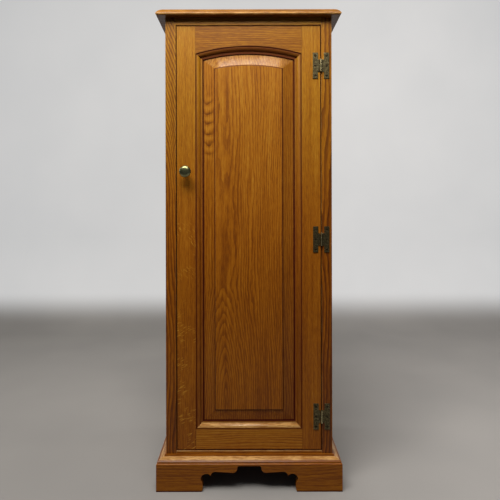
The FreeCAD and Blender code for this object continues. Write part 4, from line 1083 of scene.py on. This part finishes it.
def picked(number, values):
    """For each point of a line, the value that belongs to its number."""
    switch = number.node("GeometryNodeIndexSwitch", {"data_type": "FLOAT"}, {"Index": number}).socket.node
    for _ in values[2:]:
        switch.index_switch_items.new()
    for place, value in enumerate(values):
        if isinstance(value, Signal):
            number.tree.links.new(value.socket, switch.inputs[place + 1])
        else:
            switch.inputs[place + 1].default_value = value
    return Signal(number.tree, switch.outputs[0])


def lathe(base, profile):
    """A closed turned shape, from heights and radii."""
    heights, radii = zip(*profile)
    line = base.node("GeometryNodeMeshLine", inputs={"Count": len(profile)})
    number = line.node("GeometryNodeInputIndex")
    spot = number.node("ShaderNodeCombineXYZ", inputs={"Z": picked(number, heights)})
    placed = line.node("GeometryNodeSetPosition", inputs={"Geometry": line, "Position": spot})
    kept = {"data_type": "FLOAT", "domain": "POINT"}
    swelling = {"Geometry": placed, "Name": "girth", "Value": picked(number, radii)}
    swelled = placed.node("GeometryNodeStoreNamedAttribute", kept, swelling)
    curve = swelled.node("GeometryNodeMeshToCurve", inputs={"Mesh": swelled})
    ring = curve.node("GeometryNodeCurvePrimitiveCircle", inputs={"Resolution": RING_SIDES, "Radius": 1.0})
    girth = curve.node("GeometryNodeInputNamedAttribute", {"data_type": "FLOAT"}, {"Name": "girth"})
    sweep = {"Curve": curve, "Profile Curve": ring, "Scale": girth, "Fill Caps": True}
    return curve.node("GeometryNodeCurveToMesh", inputs=sweep)


print("rings of", RING_SIDES, "sides")

# %% The start and the end of a recipe
MOST_TURN = math.pi


def tree_with(name, sockets):
    """A new Geometry Nodes tree with named inputs; gives the tree and the list of input signals."""
    tree = bpy.data.node_groups.new(name, "GeometryNodeTree")
    tree.interface.new_socket("Geometry", in_out="INPUT", socket_type="NodeSocketGeometry")
    for label, kind in sockets.items():
        tree.interface.new_socket(label, in_out="INPUT", socket_type="NodeSocket" + kind)
    tree.interface.new_socket("Geometry", in_out="OUTPUT", socket_type="NodeSocketGeometry")
    start = tree.nodes.new("NodeGroupInput")
    return tree, [Signal(tree, socket) for socket in start.outputs[:len(sockets) + 1]]


def stand_on_points(tree, spots, shape, seed, finish):
    """The end of a recipe: the shape on every point, facing as the point says, at a chance turn."""
    vector, number = {"data_type": "FLOAT_VECTOR"}, {"data_type": "FLOAT"}
    facing = spots.node("GeometryNodeInputNamedAttribute", vector, {"Name": "facing"})
    upright = facing.node("FunctionNodeAlignRotationToVector", {"axis": "Z"}, {"Vector": facing})
    chance = seed.node("FunctionNodeRandomValue", number, {2: 0.0, 3: MOST_TURN, "Seed": seed}, 1)
    spun = chance.node("FunctionNodeAxisAngleToRotation", inputs={"Axis": (0, 0, 1), "Angle": chance})
    turns = {"Rotation": upright, "Rotate By": spun}
    stand = upright.node("FunctionNodeRotateRotation", {"rotation_space": "LOCAL"}, turns)
    inputs = {"Points": spots, "Instance": shape, "Rotation": stand}
    placed = spots.node("GeometryNodeInstanceOnPoints", inputs=inputs)
    real = placed.node("GeometryNodeRealizeInstances", inputs={"Geometry": placed})
    done = real.node("GeometryNodeSetMaterial", inputs={"Geometry": real, "Material": finish})
    tree.links.new(done.socket, tree.nodes.new("NodeGroupOutput").inputs[0])


print("each is turned by up to", round(math.degrees(MOST_TURN)), "degrees")

# %% [markdown]
# ## The recipe for a screw
#
# A blank with a pointed shank and a raised countersunk head, and a bar that cuts the slot out of the head.
# The sizes are named inputs, so one recipe makes most kinds of screw in the cupboard.

# %% The recipe for a screw
SCREW_INPUTS = {
    "Head Radius": "Float", "Head Height": "Float", "Head Rise": "Float", "Shank Radius": "Float",
    "Length": "Float", "Slot Width": "Float", "Turn Seed": "Int", "Finish": "Material",
}
screw_tree, screw_starts = tree_with("slotted screw", SCREW_INPUTS)
spots, head, tall, rise, shank, length, slot, seed, finish_in = screw_starts
blank = lathe(spots, [
    (0 - length, shank * 0.15), (shank * 2.5 - length, shank), (0 - tall, shank), (0.0, head),
    (rise, head * 0.62),
])
bar_size = spots.node("ShaderNodeCombineXYZ", inputs={"X": head * 3.0, "Y": slot, "Z": rise * 3.0})
bar = spots.node("GeometryNodeMeshCube", inputs={"Size": bar_size})
cutting = {"operation": "DIFFERENCE", "solver": "MANIFOLD"}
screw = spots.node("GeometryNodeMeshBoolean", cutting, {"Mesh 1": blank, "Mesh 2": bar})
stand_on_points(screw_tree, spots, screw, seed, finish_in)
print("screw recipe", len(screw_tree.nodes), "nodes")

# %% [markdown]
# ## The recipe for a shelf stud
#
# A shelf lies on four studs. Each is a pin that is pushed into its hole as far as a thin flange, with
# the end that carries the shelf beyond it. Both ends of the pin are softened.

# %% The recipe for a shelf stud
STUD_INPUTS = {
    "Flange Radius": "Float", "Flange Height": "Float", "Pin Radius": "Float", "Reach": "Float",
    "Length": "Float", "Turn Seed": "Int", "Finish": "Material",
}
stud_tree, stud_starts = tree_with("shelf stud", STUD_INPUTS)
spots, flange, thick, pin, reach, length, seed, finish_in = stud_starts
soft, step = pin * 0.2, thick * 0.03
stud = lathe(spots, [
    (0 - length, pin - soft), (soft - length, pin), (0 - reach - step, pin), (0 - reach, flange),
    (thick * 0.7 - reach, flange), (thick - reach, flange - thick * 0.3), (thick + step - reach, pin),
    (0 - soft, pin), (0.0, pin - soft),
])
stand_on_points(stud_tree, spots, stud, seed, finish_in)
print("stud recipe", len(stud_tree.nodes), "nodes")

# %% [markdown]
# ## Screws and studs in their places
#
# The loaded screws say where each one goes and how long it is; which way the heads of a set face is given
# with the set. So nothing is placed by hand: the mesh is taken apart into its loose parts, and the middle and
# the ends of each part give one point of the recipe.

# %% Finding the places
def loose_parts(name):
    """The corner points of each loose part of a loaded piece, in the order they were loaded in."""
    work = welded(name)
    seen, parts = set(), []
    for first in work.verts:
        if first in seen:
            continue
        seen.add(first)
        reached, group = [first], []
        while reached:
            vert = reached.pop()
            group.append(vert.co.copy())
            others = [edge.other_vert(vert) for edge in vert.link_edges]
            fresh = [other for other in others if other not in seen]
            seen.update(fresh)
            reached += fresh
        parts.append(group)
    work.free()
    return parts


def repeat(tree, name, points, facing, values, finish):
    """Runs a recipe on the points of one loaded piece and puts the result in its place."""
    mesh = bpy.data.meshes.new(name)
    mesh.from_pydata(points, [], [])
    ways = mesh.attributes.new("facing", "FLOAT_VECTOR", "POINT")
    ways.data.foreach_set("vector", [part for way in facing for part in way])
    carrier = in_scene(name, mesh)
    recipe = carrier.modifiers.new("recipe", "NODES")
    recipe.node_group = tree
    for socket in tree.interface.items_tree:
        if socket.in_out == "INPUT" and socket.name in values:
            recipe[socket.identifier] = values[socket.name]
    carrier.update_tag()
    mesh = evened(made_real(carrier), name)
    made = show(mesh, "set_of_" + name, body_of(name), finish, [name])
    print(name, len(points), "made,", len(made.data.polygons), "faces")


print("screws in the frame's hinge leaves:", len(loose_parts("frame_hinge_screws")))


# %% Screws in their places
OUT_OF_FRONT, OUT_OF_BACK, DOWN = Vector((0, -1, 0)), Vector((0, 1, 0)), Vector((0, 0, -1))
SCREW_SIZES = {
    "Head Radius": 2.9 * MM, "Head Height": 1.8 * MM, "Shank Radius": 1.4 * MM, "Slot Width": 0.9 * MM,
}


def set_screws(name, way, finish, seed, rise=0.5, sink=0.0):
    """Screws whose heads face one way; in mm, rise is the head's dome and sink how deep it is set."""
    groups = loose_parts(name)
    ends = [(min(co.dot(way) for co in group), max(co.dot(way) for co in group)) for group in groups]
    middles = [sum(group, Vector()) / len(group) for group in groups]
    points = [middle + way * (top - sink * MM - middle.dot(way)) for middle, (_, top) in zip(middles, ends)]
    bottom, top = ends[0]
    values = {
        **SCREW_SIZES, "Head Rise": rise * MM, "Length": top - bottom - sink * MM,
        "Turn Seed": seed, "Finish": finish,
    }
    repeat(screw_tree, name, points, [way] * len(points), values, finish)


set_screws("frame_hinge_screws", OUT_OF_FRONT, screw_brass, 3)
set_screws("door_hinge_screws", OUT_OF_FRONT, screw_brass, 4)
set_screws("catch_screws", DOWN, zinc, 5, 0.3)
set_screws("strike_screws", OUT_OF_BACK, zinc, 6, 0.3, 0.35)
set_screws("top_screws", DOWN, zinc, 7, 0.3)
set_screws("back_panel_screws", OUT_OF_BACK, zinc, 8, 0.3, 0.35)
for name in ("plinth_screws", "knob_screw"):
    rounded_piece(name, zinc, 0.1 * MM, 0.5 * MM)

# %% Studs in their places
STUD_SIZES = {
    "Flange Radius": 4.0 * MM, "Flange Height": 0.8 * MM, "Pin Radius": 2.5 * MM, "Reach": 11.0 * MM,
}


def set_studs(name, finish, seed):
    """Studs that point from the side boards to the middle of the cupboard."""
    ways, points, lengths = [], [], []
    for group in loose_parts(name):
        middle = sum(group, Vector()) / len(group)
        low, high = min(co.x for co in group), max(co.x for co in group)
        ways.append(Vector((-math.copysign(1, middle.x), 0, 0)))
        points.append(Vector((high if middle.x < 0 else low, middle.y, middle.z)))
        lengths.append(high - low)
    values = {**STUD_SIZES, "Length": lengths[0], "Turn Seed": seed, "Finish": finish}
    repeat(stud_tree, name, points, ways, values, finish)


set_studs("shelf_studs", hinge_brass, 9)

# %% [markdown]
# ## The catch
#
# The magnetic catch under the top and its strike plate on the door keep the shape they were drawn
# with. They get small rounded edges too, as pressed steel and moulded plastic have.

# %% Catch
rounded_piece("catch_housing", plastic, 0.4 * MM, 1.0 * MM)
rounded_piece("strike_plate", zinc, 0.3 * MM, 1.0 * MM)
magnet_steel = plated_steel("magnet_steel", 8, (0.30, 0.30, 0.31), (0.12, 0.12, 0.13))
rounded_piece("catch_magnet", magnet_steel, 0.2 * MM, 0.8 * MM)

# %% [markdown]
# ## The end
#
